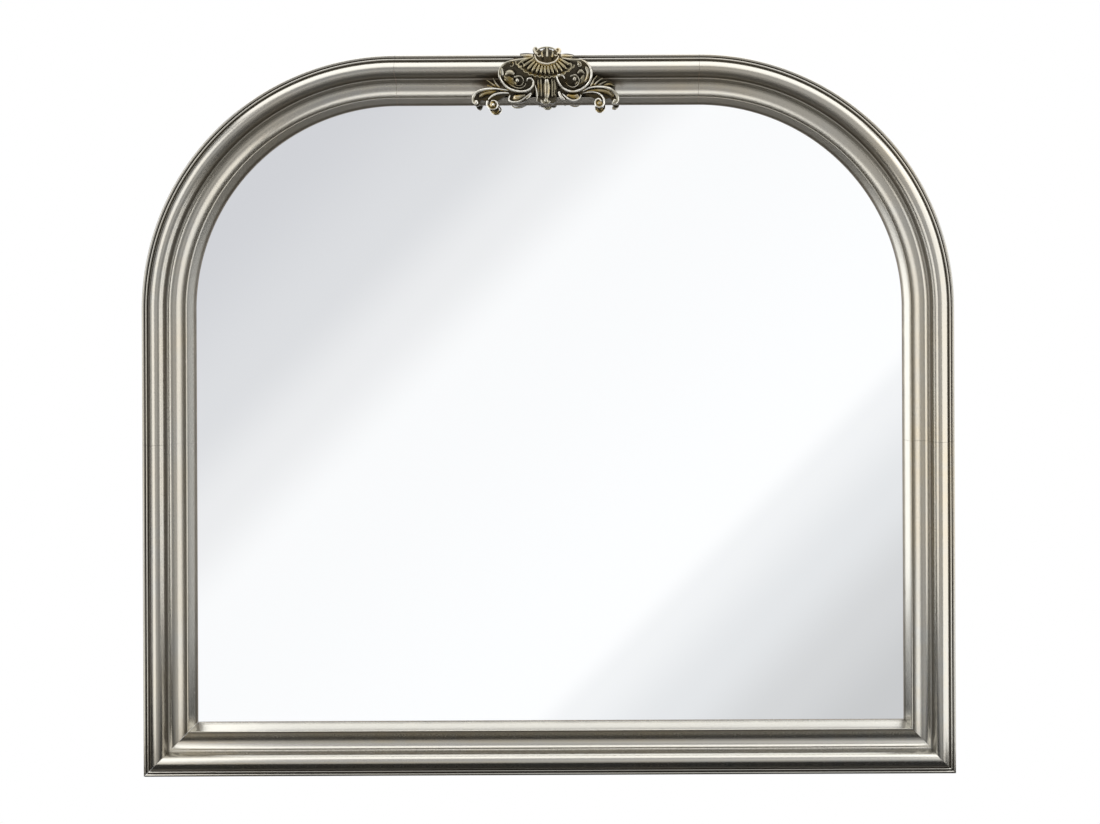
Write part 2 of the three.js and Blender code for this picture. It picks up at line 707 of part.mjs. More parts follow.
// The arched outline of what lies in the rebate, on the front as (x, z).
function archShape(inset) {
  const x = sideX - inset;
  const radius = shoulderRadius - inset;
  const shape = new THREE.Shape();
  shape.moveTo(-x, inset);
  shape.lineTo(x, inset);
  shape.lineTo(x, shoulderFoot);
  shape.absarc(railEnd, shoulderFoot, radius, 0, Math.PI / 2);
  shape.lineTo(-railEnd, frameHeight - inset);
  shape.absarc(-railEnd, shoulderFoot, radius, Math.PI / 2, Math.PI);
  shape.lineTo(-x, inset);
  return shape;
}

// A packing block between the plate's edge and the rebate's wall.
function blockGeometry(place) {
  const half = blockLength / 2;
  const along = new THREE.Vector2(-place.inZ, place.inX);
  const corners = [[rebateInset + seatGap, -half], [plateInset - seatGap, half]].map(([inset, run]) => (
    onFace(station(place.x + along.x * run, place.z + along.y * run, place.inX, place.inZ), inset, 0)
  ));
  const low = corners[0].clone().min(corners[1]).setY(-rebateDepth + seatGap);
  const high = corners[0].clone().max(corners[1]).setY(-boardBack);
  return box(low, high);
}

// ---------- assembly ----------

const bench = new THREE.Group();
bench.position.y = benchY;

function add(name, geometry, finish, position = new THREE.Vector3(), rotation = new THREE.Euler()) {
  const mesh = new THREE.Mesh(geometry, new THREE.MeshStandardMaterial(finish));
  mesh.name = name;
  mesh.position.copy(position);
  mesh.rotation.copy(rotation);
  bench.add(mesh);
}

const buttons = buttonPlaces();
const tongues = tonguePlaces();

// a pilot hole in the frame for each button's screw and each strap screw, and a through hole for each
// of the crest's screws
function pilot(on, spot, depth) {
  return { on, drill: hole(spot, screwRadius + pilotGap, -seatGap, depth) };
}

const pilotDepth = screwLength + pilotGap;
const pilots = buttons.map(({ on, at }) => pilot(on, onFace(at, buttonInset, 0), pilotDepth));
for (const [side, name] of [[-1, 'left'], [1, 'right']]) {
  for (const drop of strapScrewDrops()) {
    const spot = new THREE.Vector3(side * (sideX - hangerInset), 0, hangerHeight - drop);
    pilots.push(pilot(`${name}_shoulder`, spot, pilotDepth));
  }
}
for (const spot of crestScrewSpots()) {
  pilots.push(pilot('top_rail', spot, torusRise + seatGap));
}

const mortises = Object.fromEntries(tongues.map((place) => [place.name, mortise(place)]));
const sections = {
  top_rail: { stations: topStations, tongues: ['top_left_tongue', 'top_right_tongue'] },
  left_shoulder: { stations: shoulderStations(-1), tongues: ['top_left_tongue', 'side_left_tongue'] },
  right_shoulder: { stations: shoulderStations(1), tongues: ['top_right_tongue', 'side_right_tongue'] },
  left_stile: { stations: stileStations(-1), tongues: ['side_left_tongue', 'bottom_left_tongue'] },
  right_stile: { stations: stileStations(1), tongues: ['side_right_tongue', 'bottom_right_tongue'] },
  bottom_rail: { stations: bottomStations, tongues: ['bottom_left_tongue', 'bottom_right_tongue'] },
};
for (const [name, { stations, tongues: crossing }] of Object.entries(sections)) {
  const cutters = crossing.map((tongue) => mortises[tongue]);
  cutters.push(...pilots.filter(({ on }) => on === name).map(({ drill }) => drill));
  add(name, toGeometry(cut(toSolid(sweep(section, stations)), cutters)), leaf);
}
for (const { name, x, z, turn } of tongues) {
  add(name, tongueGeometry(0), beech, new THREE.Vector3(x, 0, z), new THREE.Euler(0, turn, 0));
}

for (const [name, casting] of Object.entries(crestCastings())) {
  add(name, toGeometry(casting), antiqueLeaf);
}
const crestScrewLength = torusRise + crestScrewBite;
crestScrewSpots().forEach((spot, i) => {
  add(`crest_${i ? 'right' : 'left'}_screw`, screwGeometry(crestScrewLength), zinc, spot.setY(shankTop));
});

add('mirror_glass', slab(archShape(plateInset), glassBack, glassBack + glassThickness), mirror);
add('back_board', slab(archShape(plateInset), boardBack, boardBack + boardThickness), fibreboard);
const blockPlaces = {
  bottom_left_block: station(-sideX / 2, 0, 0, 1),
  bottom_right_block: station(sideX / 2, 0, 0, 1),
  side_left_block: station(-sideX, stileHeight / 2, 1, 0),
  side_right_block: station(sideX, stileHeight / 2, -1, 0),
};
for (const [name, place] of Object.entries(blockPlaces)) {
  add(name, blockGeometry(place), cork);
}

for (const { name, at } of buttons) {
  const spot = onFace(at, buttonInset, 0);
  const turn = new THREE.Euler(0, Math.atan2(-at.inZ, at.inX), 0);
  add(`${name}_button`, buttonGeometry(), zinc, spot.clone().setY(seatGap), turn);
  spot.setY(2 * seatGap + buttonThickness);
  add(`${name}_button_screw`, screwGeometry(screwLength), zinc, spot);
}

for (const [side, name] of [[-1, 'left'], [1, 'right']]) {
  const x = side * (sideX - hangerInset);
  add(`${name}_hanger_strap`, strapGeometry(), brassPlate, new THREE.Vector3(x, 0, hangerHeight));
  const bar = new THREE.Vector3(x, barBack, hangerHeight);
  add(`${name}_hanging_ring`, ringGeometry(), brassPlate, bar, new THREE.Euler(ringLean, 0, 0));
  strapScrewDrops().forEach((drop, i) => {
    const spot = new THREE.Vector3(x, 2 * seatGap + strapThickness, hangerHeight - drop);
    add(`${name}_strap_${i ? 'lower' : 'upper'}_screw`, screwGeometry(screwLength), brassPlate, spot);
  });
}

for (const { name, at } of bumperPlaces()) {
  add(name, bumperGeometry(), rubber, onFace(at, bumperInset, 0));
}

const overmantelMirror = new THREE.Group();
overmantelMirror.add(bench);

export default overmantelMirror;
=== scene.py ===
import math

import bpy
import numpy as np
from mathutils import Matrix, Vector


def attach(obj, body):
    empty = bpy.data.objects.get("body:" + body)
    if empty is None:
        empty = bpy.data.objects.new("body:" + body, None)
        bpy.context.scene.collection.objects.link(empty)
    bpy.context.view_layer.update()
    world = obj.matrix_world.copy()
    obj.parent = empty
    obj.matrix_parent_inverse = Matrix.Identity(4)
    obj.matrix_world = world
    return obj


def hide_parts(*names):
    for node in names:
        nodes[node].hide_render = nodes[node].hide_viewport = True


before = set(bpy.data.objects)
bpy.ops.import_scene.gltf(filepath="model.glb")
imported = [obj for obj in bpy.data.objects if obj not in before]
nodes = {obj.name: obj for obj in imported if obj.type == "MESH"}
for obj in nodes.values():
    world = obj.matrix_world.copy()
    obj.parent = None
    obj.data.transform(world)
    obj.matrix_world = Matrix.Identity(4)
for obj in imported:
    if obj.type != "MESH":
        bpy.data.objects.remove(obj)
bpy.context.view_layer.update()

millimetre = 0.001


def clearSelection():
    bpy.ops.object.select_all(action="DESELECT")


def pickUp(piece):
    clearSelection()
    piece.select_set(True)
    bpy.context.view_layer.objects.active = piece


def editAll(piece):
    # goes into edit mode with everything selected
    pickUp(piece)
    bpy.ops.object.mode_set(mode="EDIT")
    bpy.ops.mesh.select_all(action="SELECT")


def stopEditing():
    bpy.ops.object.mode_set(mode="OBJECT")


def extrudeBy(step):
    bpy.ops.mesh.extrude_region_move(TRANSFORM_OT_translate={"value": step})


def traceOutline(name, points, closed=True):
    # one point pushed from corner to corner, and a closed outline filled with a face
    clearSelection()
    bpy.ops.mesh.primitive_plane_add(size=0.01, location=(0, 0, 0))
    piece = bpy.context.object
    piece.name = name
    editAll(piece)
    bpy.ops.mesh.merge(type="CENTER")
    here = Vector(points[0])
    bpy.ops.transform.translate(value=here)
    for point in points[1:]:
        extrudeBy(Vector(point) - here)
        here = Vector(point)
    if closed:
        bpy.ops.mesh.select_all(action="SELECT")
        bpy.ops.mesh.edge_face_add()
    stopEditing()
    return piece


def pushOut(piece, step):
    # extrudes all that is drawn so far by one step
    editAll(piece)
    extrudeBy(Vector(step))
    stopEditing()


def sliceOff(piece, point, normal):
    # cuts away what lies beyond a plane and closes the cut
    editAll(piece)
    bpy.ops.mesh.bisect(plane_co=point, plane_no=normal, use_fill=True, clear_outer=True)
    stopEditing()


def cleanUp(piece):
    editAll(piece)
    bpy.ops.mesh.remove_doubles(threshold=0.01 * millimetre)
    bpy.ops.mesh.normals_make_consistent(inside=False)
    stopEditing()


def smoothByAngle(piece, degrees):
    pickUp(piece)
    bpy.ops.object.shade_smooth_by_angle(angle=math.radians(degrees))


def settle(piece):
    # leaves the object at the origin, with its place in its mesh
    pickUp(piece)
    bpy.ops.object.transform_apply(location=True, rotation=True, scale=True)


def applyModifier(piece, kind, **settings):
    pickUp(piece)
    modifier = piece.modifiers.new(kind.title(), kind)
    for name, value in settings.items():
        setattr(modifier, name, value)
    bpy.ops.object.modifier_apply(modifier=modifier.name)


def cutWith(piece, tool, operation="DIFFERENCE"):
    applyModifier(piece, "BOOLEAN", operation=operation, object=tool, solver="EXACT")
    bpy.data.objects.remove(tool)


def layBar(name, spots, radius, shares=None, roundness=3):
    # a round bar through the spots: tapered by its shares of the radius and capped, or else a closed loop
    clearSelection()
    bpy.ops.curve.primitive_bezier_curve_add()
    bar = bpy.context.object
    bar.name = name
    curve = bar.data
    curve.splines.clear()
    line = curve.splines.new("POLY")
    line.points.add(len(spots) - 1)
    line.use_cyclic_u = shares is None
    for point, spot, share in zip(line.points, spots, shares or [1.0] * len(spots)):
        point.co = (*spot, 1)
        point.radius = share
    curve.dimensions = "3D"
    curve.bevel_depth = radius * millimetre
    curve.bevel_resolution = roundness
    curve.use_fill_caps = shares is not None
    pickUp(bar)
    bpy.ops.object.convert(target="MESH")
    return bpy.context.object


def joinPieces(pieces, name):
    clearSelection()
    for piece in pieces:
        piece.select_set(True)
    bpy.context.view_layer.objects.active = pieces[0]
    bpy.ops.object.join()
    whole = bpy.context.object
    whole.name = name
    return whole


def addObject(name, data):
    made = bpy.data.objects.new(name, data)
    bpy.context.scene.collection.objects.link(made)
    return made


def place(piece, body, slot, *replaced):
    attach(piece, body)
    if replaced:
        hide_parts(*replaced)


def paint(piece, material):
    piece.data.materials.clear()
    piece.data.materials.append(material)


class Signal:
    # a socket that takes part in sums
    def __init__(self, recipe, socket):
        self.recipe = recipe
        self.socket = socket

    def sum(self, operation, *values):
        return self.recipe.node("ShaderNodeMath", {"operation": operation}, dict(enumerate(values)))

    def __add__(self, other):
        return self.sum("ADD", self, other)

    def __radd__(self, other):
        return self.sum("ADD", other, self)

    def __sub__(self, other):
        return self.sum("SUBTRACT", self, other)

    def __rsub__(self, other):
        return self.sum("SUBTRACT", other, self)

    def __mul__(self, other):
        return self.sum("MULTIPLY", self, other)

    def __rmul__(self, other):
        return self.sum("MULTIPLY", other, self)

    def __truediv__(self, other):
        return self.sum("DIVIDE", self, other)

    def __pow__(self, other):
        return self.sum("POWER", self, other)

    def __abs__(self):
        return self.sum("ABSOLUTE", self)

    def least(self, other):
        return self.sum("MINIMUM", self, other)

    def most(self, other):
        return self.sum("MAXIMUM", self, other)

    def turnFrom(self, other):
        return self.sum("ARCTAN2", self, other)

    def between(self, low, high):
        # 0 below low, 1 above high, and a smooth way up
        sockets = {"Value": self, "From Min": low, "From Max": high}
        return self.recipe.node("ShaderNodeMapRange", {"interpolation_type": "SMOOTHSTEP"}, sockets)


class Recipe:
    # the nodes of one material, or of the world
    def __init__(self, name, world=False):
        self.owner = (bpy.data.worlds if world else bpy.data.materials).new(name)
        self.owner.use_nodes = True
        self.tree = self.owner.node_tree
        self.tree.nodes.clear()

    def node(self, kind, settings=None, sockets=None, output=0):
        made = self.tree.nodes.new(kind)
        for name, value in (settings or {}).items():
            if name == "stops":
                self.setStops(made.color_ramp.elements, value)
            elif name == "blending":
                made.color_ramp.interpolation = value
            else:
                setattr(made, name, value)
        for name, value in (sockets or {}).items():
            socket = made.inputs[name]
            if isinstance(value, Signal):
                self.tree.links.new(value.socket, socket)
            elif socket.type == "RGBA":
                socket.default_value = (*value, 1.0)
            else:
                socket.default_value = value
        return Signal(self, made.outputs[output]) if made.outputs else None

    def setStops(self, elements, stops):
        while len(elements) < len(stops):
            elements.new(1.0)
        for element, (position, colour) in zip(elements, stops):
            element.position = position
            element.color = (*colour, 1.0) if isinstance(colour, tuple) else (colour, colour, colour, 1.0)

    def where(self, output="Object"):
        return self.node("ShaderNodeTexCoord", output=output)

    def split(self, vector):
        axes = self.node("ShaderNodeSeparateXYZ", None, {0: vector}).socket.node
        return [Signal(self, axis) for axis in axes.outputs]

    def join(self, x, y, z):
        return self.node("ShaderNodeCombineXYZ", None, {0: x, 1: y, 2: z})

    def noise(self, where, scale, detail=3.0, roughness=0.55):
        sockets = {"Vector": where, "Scale": scale, "Detail": detail, "Roughness": roughness}
        return self.node("ShaderNodeTexNoise", None, sockets)

    def ramp(self, value, stops, blending="LINEAR"):
        return self.node("ShaderNodeValToRGB", {"stops": stops, "blending": blending}, {"Fac": value})

    def mix(self, share, first, second):
        # the mix node's colour sockets are its seventh and eighth inputs and its third output
        settings = {"data_type": "RGBA", "clamp_factor": True}
        return self.node("ShaderNodeMix", settings, {0: share, 6: first, 7: second}, 2)

    def bump(self, height, strength, distance):
        sockets = {"Height": height, "Strength": strength, "Distance": distance}
        return self.node("ShaderNodeBump", None, sockets)

    def surface(self, colour, roughness, metallic=0.0, normal=None):
        sockets = {"Base Color": colour, "Roughness": roughness, "Metallic": metallic}
        if normal:
            sockets["Normal"] = normal
        return self.finish(self.node("ShaderNodeBsdfPrincipled", None, sockets))

    def finish(self, shader):
        kind = "World" if isinstance(self.owner, bpy.types.World) else "Material"
        self.node(f"ShaderNodeOutput{kind}", None, {"Surface": shader})
        return self.owner


cameraSettings = {"at": (0.100, -2.022, 0.712), "pitch": 90, "roll": 0.25, "lens": 44.35, "sensor": 36,
                  "shiftX": -0.0596, "shiftY": -0.1084}


def setCamera(settings):
    lens = bpy.data.cameras.new("camera")
    camera = addObject("camera", lens)
    camera.location = settings["at"]
    camera.rotation_euler = (math.radians(settings["pitch"]), math.radians(settings["roll"]), 0)
    lens.lens = settings["lens"]
    lens.sensor_width = settings["sensor"]
    lens.shift_x = settings["shiftX"]
    lens.shift_y = settings["shiftY"]
    bpy.context.scene.camera = camera


setCamera(cameraSettings)
print("camera set")


# the frame's moulding: its points are (inset, rise), in from the outer edge and out from the back
frameSizes = {"width": 1200, "height": 1064, "shoulderRadius": 375, "stileHeight": 490, "gap": 0.3,
              "backY": 20.5, "arcSteps": 72, "spare": 5, "smoothAngle": 32}
mouldingSizes = {
    "edgeLines": [(0, 0), (0, 40.4), (0.25, 41.4), (0.9, 42.2), (2.0, 42.5), (3.1, 42.25), (3.8, 41.7),
                  (4.0, 41.2), (4.05, 39.7), (4.25, 39.15), (4.8, 39.15), (5.0, 39.7), (5.05, 41.2),
                  (5.3, 41.8), (5.9, 42.3), (6.6, 42.5), (7.3, 42.3), (7.9, 41.8), (8.15, 41.2),
                  (8.2, 39.7), (8.4, 39.1), (9.0, 39.0)],
    "torusStart": 9.3, "torusRise": 50, "torusWidth": 24, "outerFoot": 39, "innerFoot": 31.5,
    "torusSteps": 24, "fillet": 1.8, "filletPoints": [(-1.5, 31.4), (-0.25, 31.5)], "coveStartRise": 31.3,
    "coveFloor": (45.5, 24.0), "coveEnd": (60.8, 28.7), "coveSteps": 10,
    "innerLip": [(61.0, 28.9), (61.3, 29.3), (61.8, 29.45), (62.3, 29.35), (62.7, 28.9), (62.9, 28.2),
                 (65.2, 22.2), (68, 15.4), (69.4, 12.0), (69.85, 11.0), (70, 10.4)],
    "rebate": [(70, 8), (58, 8), (58, 0)],
}


def mouldingPoints(sizes):
    # the section from the outer edge round the front to the rebate
    points = list(sizes["edgeLines"])
    steps, start, top = sizes["torusSteps"], sizes["torusStart"], sizes["torusRise"]
    radius = sizes["torusWidth"] / 2
    for i in range(steps + 1):
        turn = math.pi * i / steps
        foot = sizes["outerFoot"] if i < steps / 2 else sizes["innerFoot"]
        points.append((start + radius - radius * math.cos(turn), foot + (top - foot) * math.sin(turn)))
    stepEnd = start + 2 * radius + sizes["fillet"]
    points += [(stepEnd + shift, rise) for shift, rise in sizes["filletPoints"]]
    points.append((stepEnd, sizes["coveStartRise"]))
    # the cove: a short steep arc down to its floor and a long easy one up to the arris
    floorInset, floorRise = sizes["coveFloor"]
    for end, endRise in ((stepEnd, sizes["coveStartRise"]), sizes["coveEnd"]):
        across = end - floorInset
        turn = 2 * math.atan2(endRise - floorRise, abs(across))
        arcRadius = across / math.sin(turn)
        arc = []
        for i in range(1, sizes["coveSteps"]):
            angle = turn * i / sizes["coveSteps"]
            lift = abs(arcRadius) * (1 - math.cos(angle))
            arc.append((floorInset + arcRadius * math.sin(angle), floorRise + lift))
        points += arc[::-1] + [(floorInset, floorRise)] if across < 0 else arc
    return points + sizes["innerLip"] + sizes["rebate"]


def layStation(edge, inward):
    # the section's points at one spot of the outer edge, with the way inwards over the face
    station = []
    for inset, rise in mouldingPoints(mouldingSizes):
        spot = Vector((edge[0], frameSizes["backY"] - rise, edge[1]))
        spot.x += inward[0] * inset
        spot.z += inward[1] * inset
        station.append(spot * millimetre)
    return station


def makeSection(name, edge, inward, run):
    piece = traceOutline(name, layStation(edge, inward))
    pushOut(piece, Vector(run) * millimetre)
    return piece


def makeShoulder(name, side):
    # a quarter of a ring and the short straight down to the stile
    sizes = frameSizes
    centreX = side * (sizes["width"] / 2 - sizes["shoulderRadius"])
    centreZ = sizes["height"] - sizes["shoulderRadius"]
    points = layStation((centreX, sizes["height"]), (0, -1))
    piece = traceOutline(name, points + points[:1], closed=False)
    editAll(piece)
    centre = Vector((centreX, 0, centreZ)) * millimetre
    bpy.ops.mesh.spin(steps=sizes["arcSteps"], angle=side * math.pi / 2, center=centre, axis=(0, -1, 0))
    drop = (centreZ - sizes["stileHeight"]) * millimetre
    extrudeBy((0, 0, -drop))
    bpy.ops.mesh.edge_face_add()
    stopEditing()
    return piece


def makeFrame():
    # the bottom rail and the stiles start too long and are cut to their mitres
    sizes = frameSizes
    half, gap, spare = sizes["width"] / 2, sizes["gap"], sizes["spare"]
    mitreGap = gap * math.sqrt(2)
    railEnd = half - sizes["shoulderRadius"]
    made = {}
    run = (2 * (railEnd - gap), 0, 0)
    made["top_rail"] = makeSection("topRail", (gap - railEnd, sizes["height"]), (0, -1), run)
    run = (2 * (half + spare), 0, 0)
    made["bottom_rail"] = makeSection("bottomRail", (-half - spare, 0), (0, 1), run)
    for side in (-1, 1):
        cut = Vector((side * (half - mitreGap), 0, 0)) * millimetre
        sliceOff(made["bottom_rail"], cut, (side, 0, 1))
    for side, word in ((-1, "left"), (1, "right")):
        run = (0, 0, sizes["stileHeight"] - gap + spare)
        stile = makeSection(f"{word}Stile", (side * half, -spare), (-side, 0), run)
        sliceOff(stile, Vector((side * half, 0, 0)) * millimetre, (-side, 0, -1))
        made[f"{word}_stile"] = stile
        made[f"{word}_shoulder"] = makeShoulder(f"{word}Shoulder", side)
    return made


frameSections = makeFrame()
for node, section in frameSections.items():
    cleanUp(section)
    smoothByAngle(section, frameSizes["smoothAngle"])
    place(section, "root", "silver_leaf", node)
print("frame sections made")


# the crest, as points of (x, inset from the rail's top edge)
crestSizes = {"backY": 20.5, "railTop": 1064, "voxel": 0.56, "hollowRounds": 34, "strokeSteps": 6,
              "fieldSteps": 4, "fieldHeight": 60, "coverHalf": 130,
              # the cover line, as (inset, rise): how far the carving stands out at each inset
              "cover": [(-40, 46), (-12, 48), (0, 52), (12, 56), (22, 57.5), (33, 54), (44, 46), (56, 41),
                        (68, 38.5), (82, 36), (110, 34)]}
# strokes are (points, radius, lift above the cover line, taper), and balls (x, inset, radius, lift)
plumeSizes = {
    "back": 30.5,
    "fields": [[(0, -11), (-8, -6.5), (-15, -10.5), (-19.5, -8.5), (-18.5, -2), (-30, -2.5), (-40, -1),
                (-31, 4), (-19, 8), (-11.5, 14.5), (0, 17.5), (10, 15), (18, 9), (30, 6), (41, 1.5),
                (30, -1.5), (18.5, -1), (18.5, -7.5), (14, -9.5), (8, -6)]],
    "pocketDepth": 9.0,
    "strokes": [
        ([(1, 6), (1, -2), (0.5, -10)], 2.2, 1.0, "tail"),
        ([(-5.7, 6.1), (-6.9, -1.9), (-3.7, -8.0)], 2.2, -4.0, "tail"),
        ([(8.0, 6.1), (9.0, -1.9), (5.8, -7.6)], 2.2, -4.0, "tail"),
        ([(-17.0, 2.5), (-15.4, 8.6), (-10.2, 14.0), (0.4, 16.8), (10.6, 14.6), (16.2, 9.8),
          (18.4, 4.0)], 1.5, 4.0, "both"),
        ([(-7.9, 3.0), (-10.4, 5.2), (-13.2, 3.5), (-13.5, 0.9), (-11.3, -1.0)], 1.2, 2.0, "tail"),
        ([(12.0, 2.7), (14.2, 4.4), (16.0, 2.7), (15.1, 0.2)], 1.2, 2.0, "tail"),
        ([(-14.7, 1.5), (-17.8, -3.8), (-17.9, -7.6), (-15.6, -9.2), (-13.2, -7.0)], 2.6, 0.5, "tail"),
        ([(17.2, 1.5), (19.6, -3.8), (18.4, -6.8), (15.6, -7.4), (13.5, -5.0)], 2.6, 0.5, "tail"),
        ([(-16.4, 0.9), (-14.6, -4.0), (-8.8, -8.2), (0.5, -9.6), (9.0, -8.0), (15.4, -3.6),
          (18.0, 2.4)], 1.5, -0.5, "both"),
        ([(-19.5, 4.6), (-30.0, 3.6), (-38.6, 2.4)], 3.2, -1.0, "tail"),
        ([(-18.0, 8.0), (-27.0, 7.2), (-34.0, 6.0)], 1.7, -1.5, "tail"),
        ([(21.0, 4.6), (32.0, 4.6), (40.2, 4.2)], 3.3, -1.0, "tail"),
        ([(22.0, 8.4), (31.0, 8.2), (39.0, 7.4)], 1.7, -1.5, "tail"),
    ],
    "balls": [],
}
shellSizes = {
    "back": 32.0, "ribs": 13, "hinge": (0, -4), "left": -70, "right": 62, "start": 21.0, "reach": 38.0,
    "flare": 10.0, "swell": 4.0, "rib": 2.4, "ribEnd": 3.4, "ribSink": 1.6, "ribSteps": 6, "border": 1.1,
    "borderReach": 0.6, "borderLift": 1.4, "scallop": 1.8, "fieldReach": 0.8, "pocketDepth": 2.0,
    "strokes": [
        ([(-36.0, 19.5), (-38.5, 22.0), (-41.0, 19.5), (-39.5, 15.0), (-35.5, 14.0),
          (-33.5, 17.0)], 1.6, 2.0, "tail"),
        ([(31.5, 17.5), (35.5, 16.5), (37.0, 20.5), (35.5, 25.0), (32.5, 25.5),
          (31.5, 22.5)], 1.6, 2.0, "tail"),
    ],
}
dropSizes = {
    "back": 22.3,
    "fields": [[(-18.5, 34), (-18, 48), (-17, 61), (-11, 70), (0, 69), (9, 71), (13.5, 64), (15, 50),
                (13.5, 34)]],
    "pocketDepth": 5.0,
    "strokes": [
        ([(-12.8, 37.2), (-12.4, 47.8), (-12.8, 60.2)], 2.2, -4.6, "both"),
        ([(-8.3, 36.3), (-7.9, 47.8), (-8.3, 62.0)], 2.3, -4.2, "both"),
        ([(7.3, 36.3), (7.3, 47.8), (7.3, 62.0)], 2.3, -4.2, "both"),
        ([(11.2, 37.2), (11.6, 47.8), (10.9, 60.2)], 2.2, -4.6, "both"),
        ([(-17.7, 44.7), (-15.2, 52.4), (-14.4, 61.7), (-15.4, 69.0)], 1.1, 0.0, "both"),
        ([(0, 37.0), (0, 40.0), (0, 44.0), (0, 50.0), (-0.3, 58.0), (-0.6, 64.0)], 5.6, 1.0, "bulb"),
        ([(-9.2, 65.8), (-6.2, 70.0), (-0.4, 71.2), (5.0, 67.6)], 2.1, 0.5, "both"),
    ],
    "balls": [(-1.6, 67.0, 4.2, 0.5)],
}
leftScrollSizes = {
    "back": 22.3,
    "fields": [
        [(-46, 6), (-60, 12), (-70, 23), (-71, 36), (-60.5, 48.5), (-43, 55.5), (-22.5, 51), (-11, 36),
         (-13, 15), (-30, 6.5)],
        [(-40, 47), (-64, 50), (-90, 49), (-105, 54), (-110, 63), (-108, 72.5), (-102, 73.5), (-98, 66),
         (-87, 69), (-76, 68), (-64, 61)],
        [(-57, 51), (-56, 65), (-46, 69), (-35, 68), (-21, 57), (-21, 47)],
    ],
    "pocketDepth": 6.0,
    "strokes": [
        ([(-53, 11.5), (-61.5, 15.7), (-68.2, 23.7), (-69.3, 32.2), (-65.3, 41.5), (-55.7, 50.0),
          (-41.7, 54.0), (-29.3, 53), (-21.5, 47.8), (-19.9, 40.8), (-23.1, 36.4), (-27.8, 37.2),
          (-29.3, 40.9)], 2.1, 0.5, "both"),
        ([(-19.5, 6.5), (-26.2, 7.8), (-35.5, 9.3), (-46.4, 10.8), (-54, 12.0)], 1.8, 0.5, "both"),
        ([(-66, 22.1), (-65.8, 27), (-64.7, 33)], 3.4, -0.5, "both"),
        ([(-61.5, 31.0), (-54.2, 27.3), (-46.7, 29.9)], 4.2, -4.0, "both"),
        ([(-63.2, 36.6), (-55.7, 38.2), (-48.6, 35.1)], 3.0, -4.5, "both"),
        ([(-55.4, 14.3), (-50.8, 12.7), (-47.9, 16.0), (-50.7, 19.5), (-54.2, 18.0)], 1.4, -1.5, "tail"),
        ([(-47.9, 34.1), (-38.6, 33.2), (-34.6, 37.8), (-36.1, 43.9), (-43.3, 45.6),
          (-48.4, 42.0)], 1.6, -2.5, "tail"),
        ([(-30.6, 42.0), (-33.1, 46.4), (-39.6, 49.2), (-47.9, 47.5), (-55.7, 42.9),
          (-60.7, 36.6)], 1.2, -2.5, "both"),
        ([(-56.5, 52.7), (-75.9, 50.2), (-91.4, 51.0), (-103.1, 54.7), (-109.2, 61.7), (-108.6, 68.6),
          (-103.6, 72.2)], 2.3, 0.5, "head"),
        ([(-55.7, 56.3), (-69.7, 56.3), (-80.6, 59.9), (-87.2, 65.9)], 1.8, 0.0, "both"),
        ([(-64, 53.4), (-80, 54.0), (-92, 55.0), (-100, 60.0)], 1.0, -2.6, "both"),
        ([(-88.1, 67.2), (-88.6, 73.2), (-83.6, 78.6), (-76.6, 78.3), (-73.2, 72.9), (-75.8, 68.1),
          (-80.9, 67.2), (-83.6, 70.4), (-82.0, 73.8)], 1.9, 1.0, "tail"),
        ([(-54.4, 58.9), (-56.4, 65.4), (-52.0, 69.0), (-41.7, 68.4), (-32.4, 63.1),
          (-23.8, 56.0)], 1.5, 0.5, "both"),
        ([(-51.0, 60.5), (-42.0, 62.0), (-31.0, 58.0)], 5.8, -5.4, "both"),
        ([(-62.0, 20.0), (-60.0, 30.0), (-52.0, 38.0), (-44.0, 44.0)], 8.5, -10.6, "both"),
        ([(-60.0, 53.6), (-77.0, 53.2), (-91.0, 55.0), (-101.0, 61.0)], 4.4, -5.2, "both"),
        ([(-22.8, 56.1), (-26.2, 60.7), (-30.2, 65.0)], 1.5, 0.0, "both"),
        ([(-69.9, 48.8), (-75.0, 42.0), (-79.0, 35.6)], 2.3, -3.0, "tail"),
        ([(-70.5, 49.8), (-80.0, 43.4), (-88.5, 37.9)], 2.3, -3.5, "tail"),
        ([(-72.6, 50.5), (-82.7, 47.0), (-88.5, 44.5)], 2.0, -3.5, "tail"),
    ],
    "balls": [(-43.0, 38.8, 3.2, 0.0), (-104.8, 69.0, 3.6, 0.0), (-81.0, 73.0, 5.6, -1.5),
              (-79.6, 73.2, 2.2, 3.2)],
}
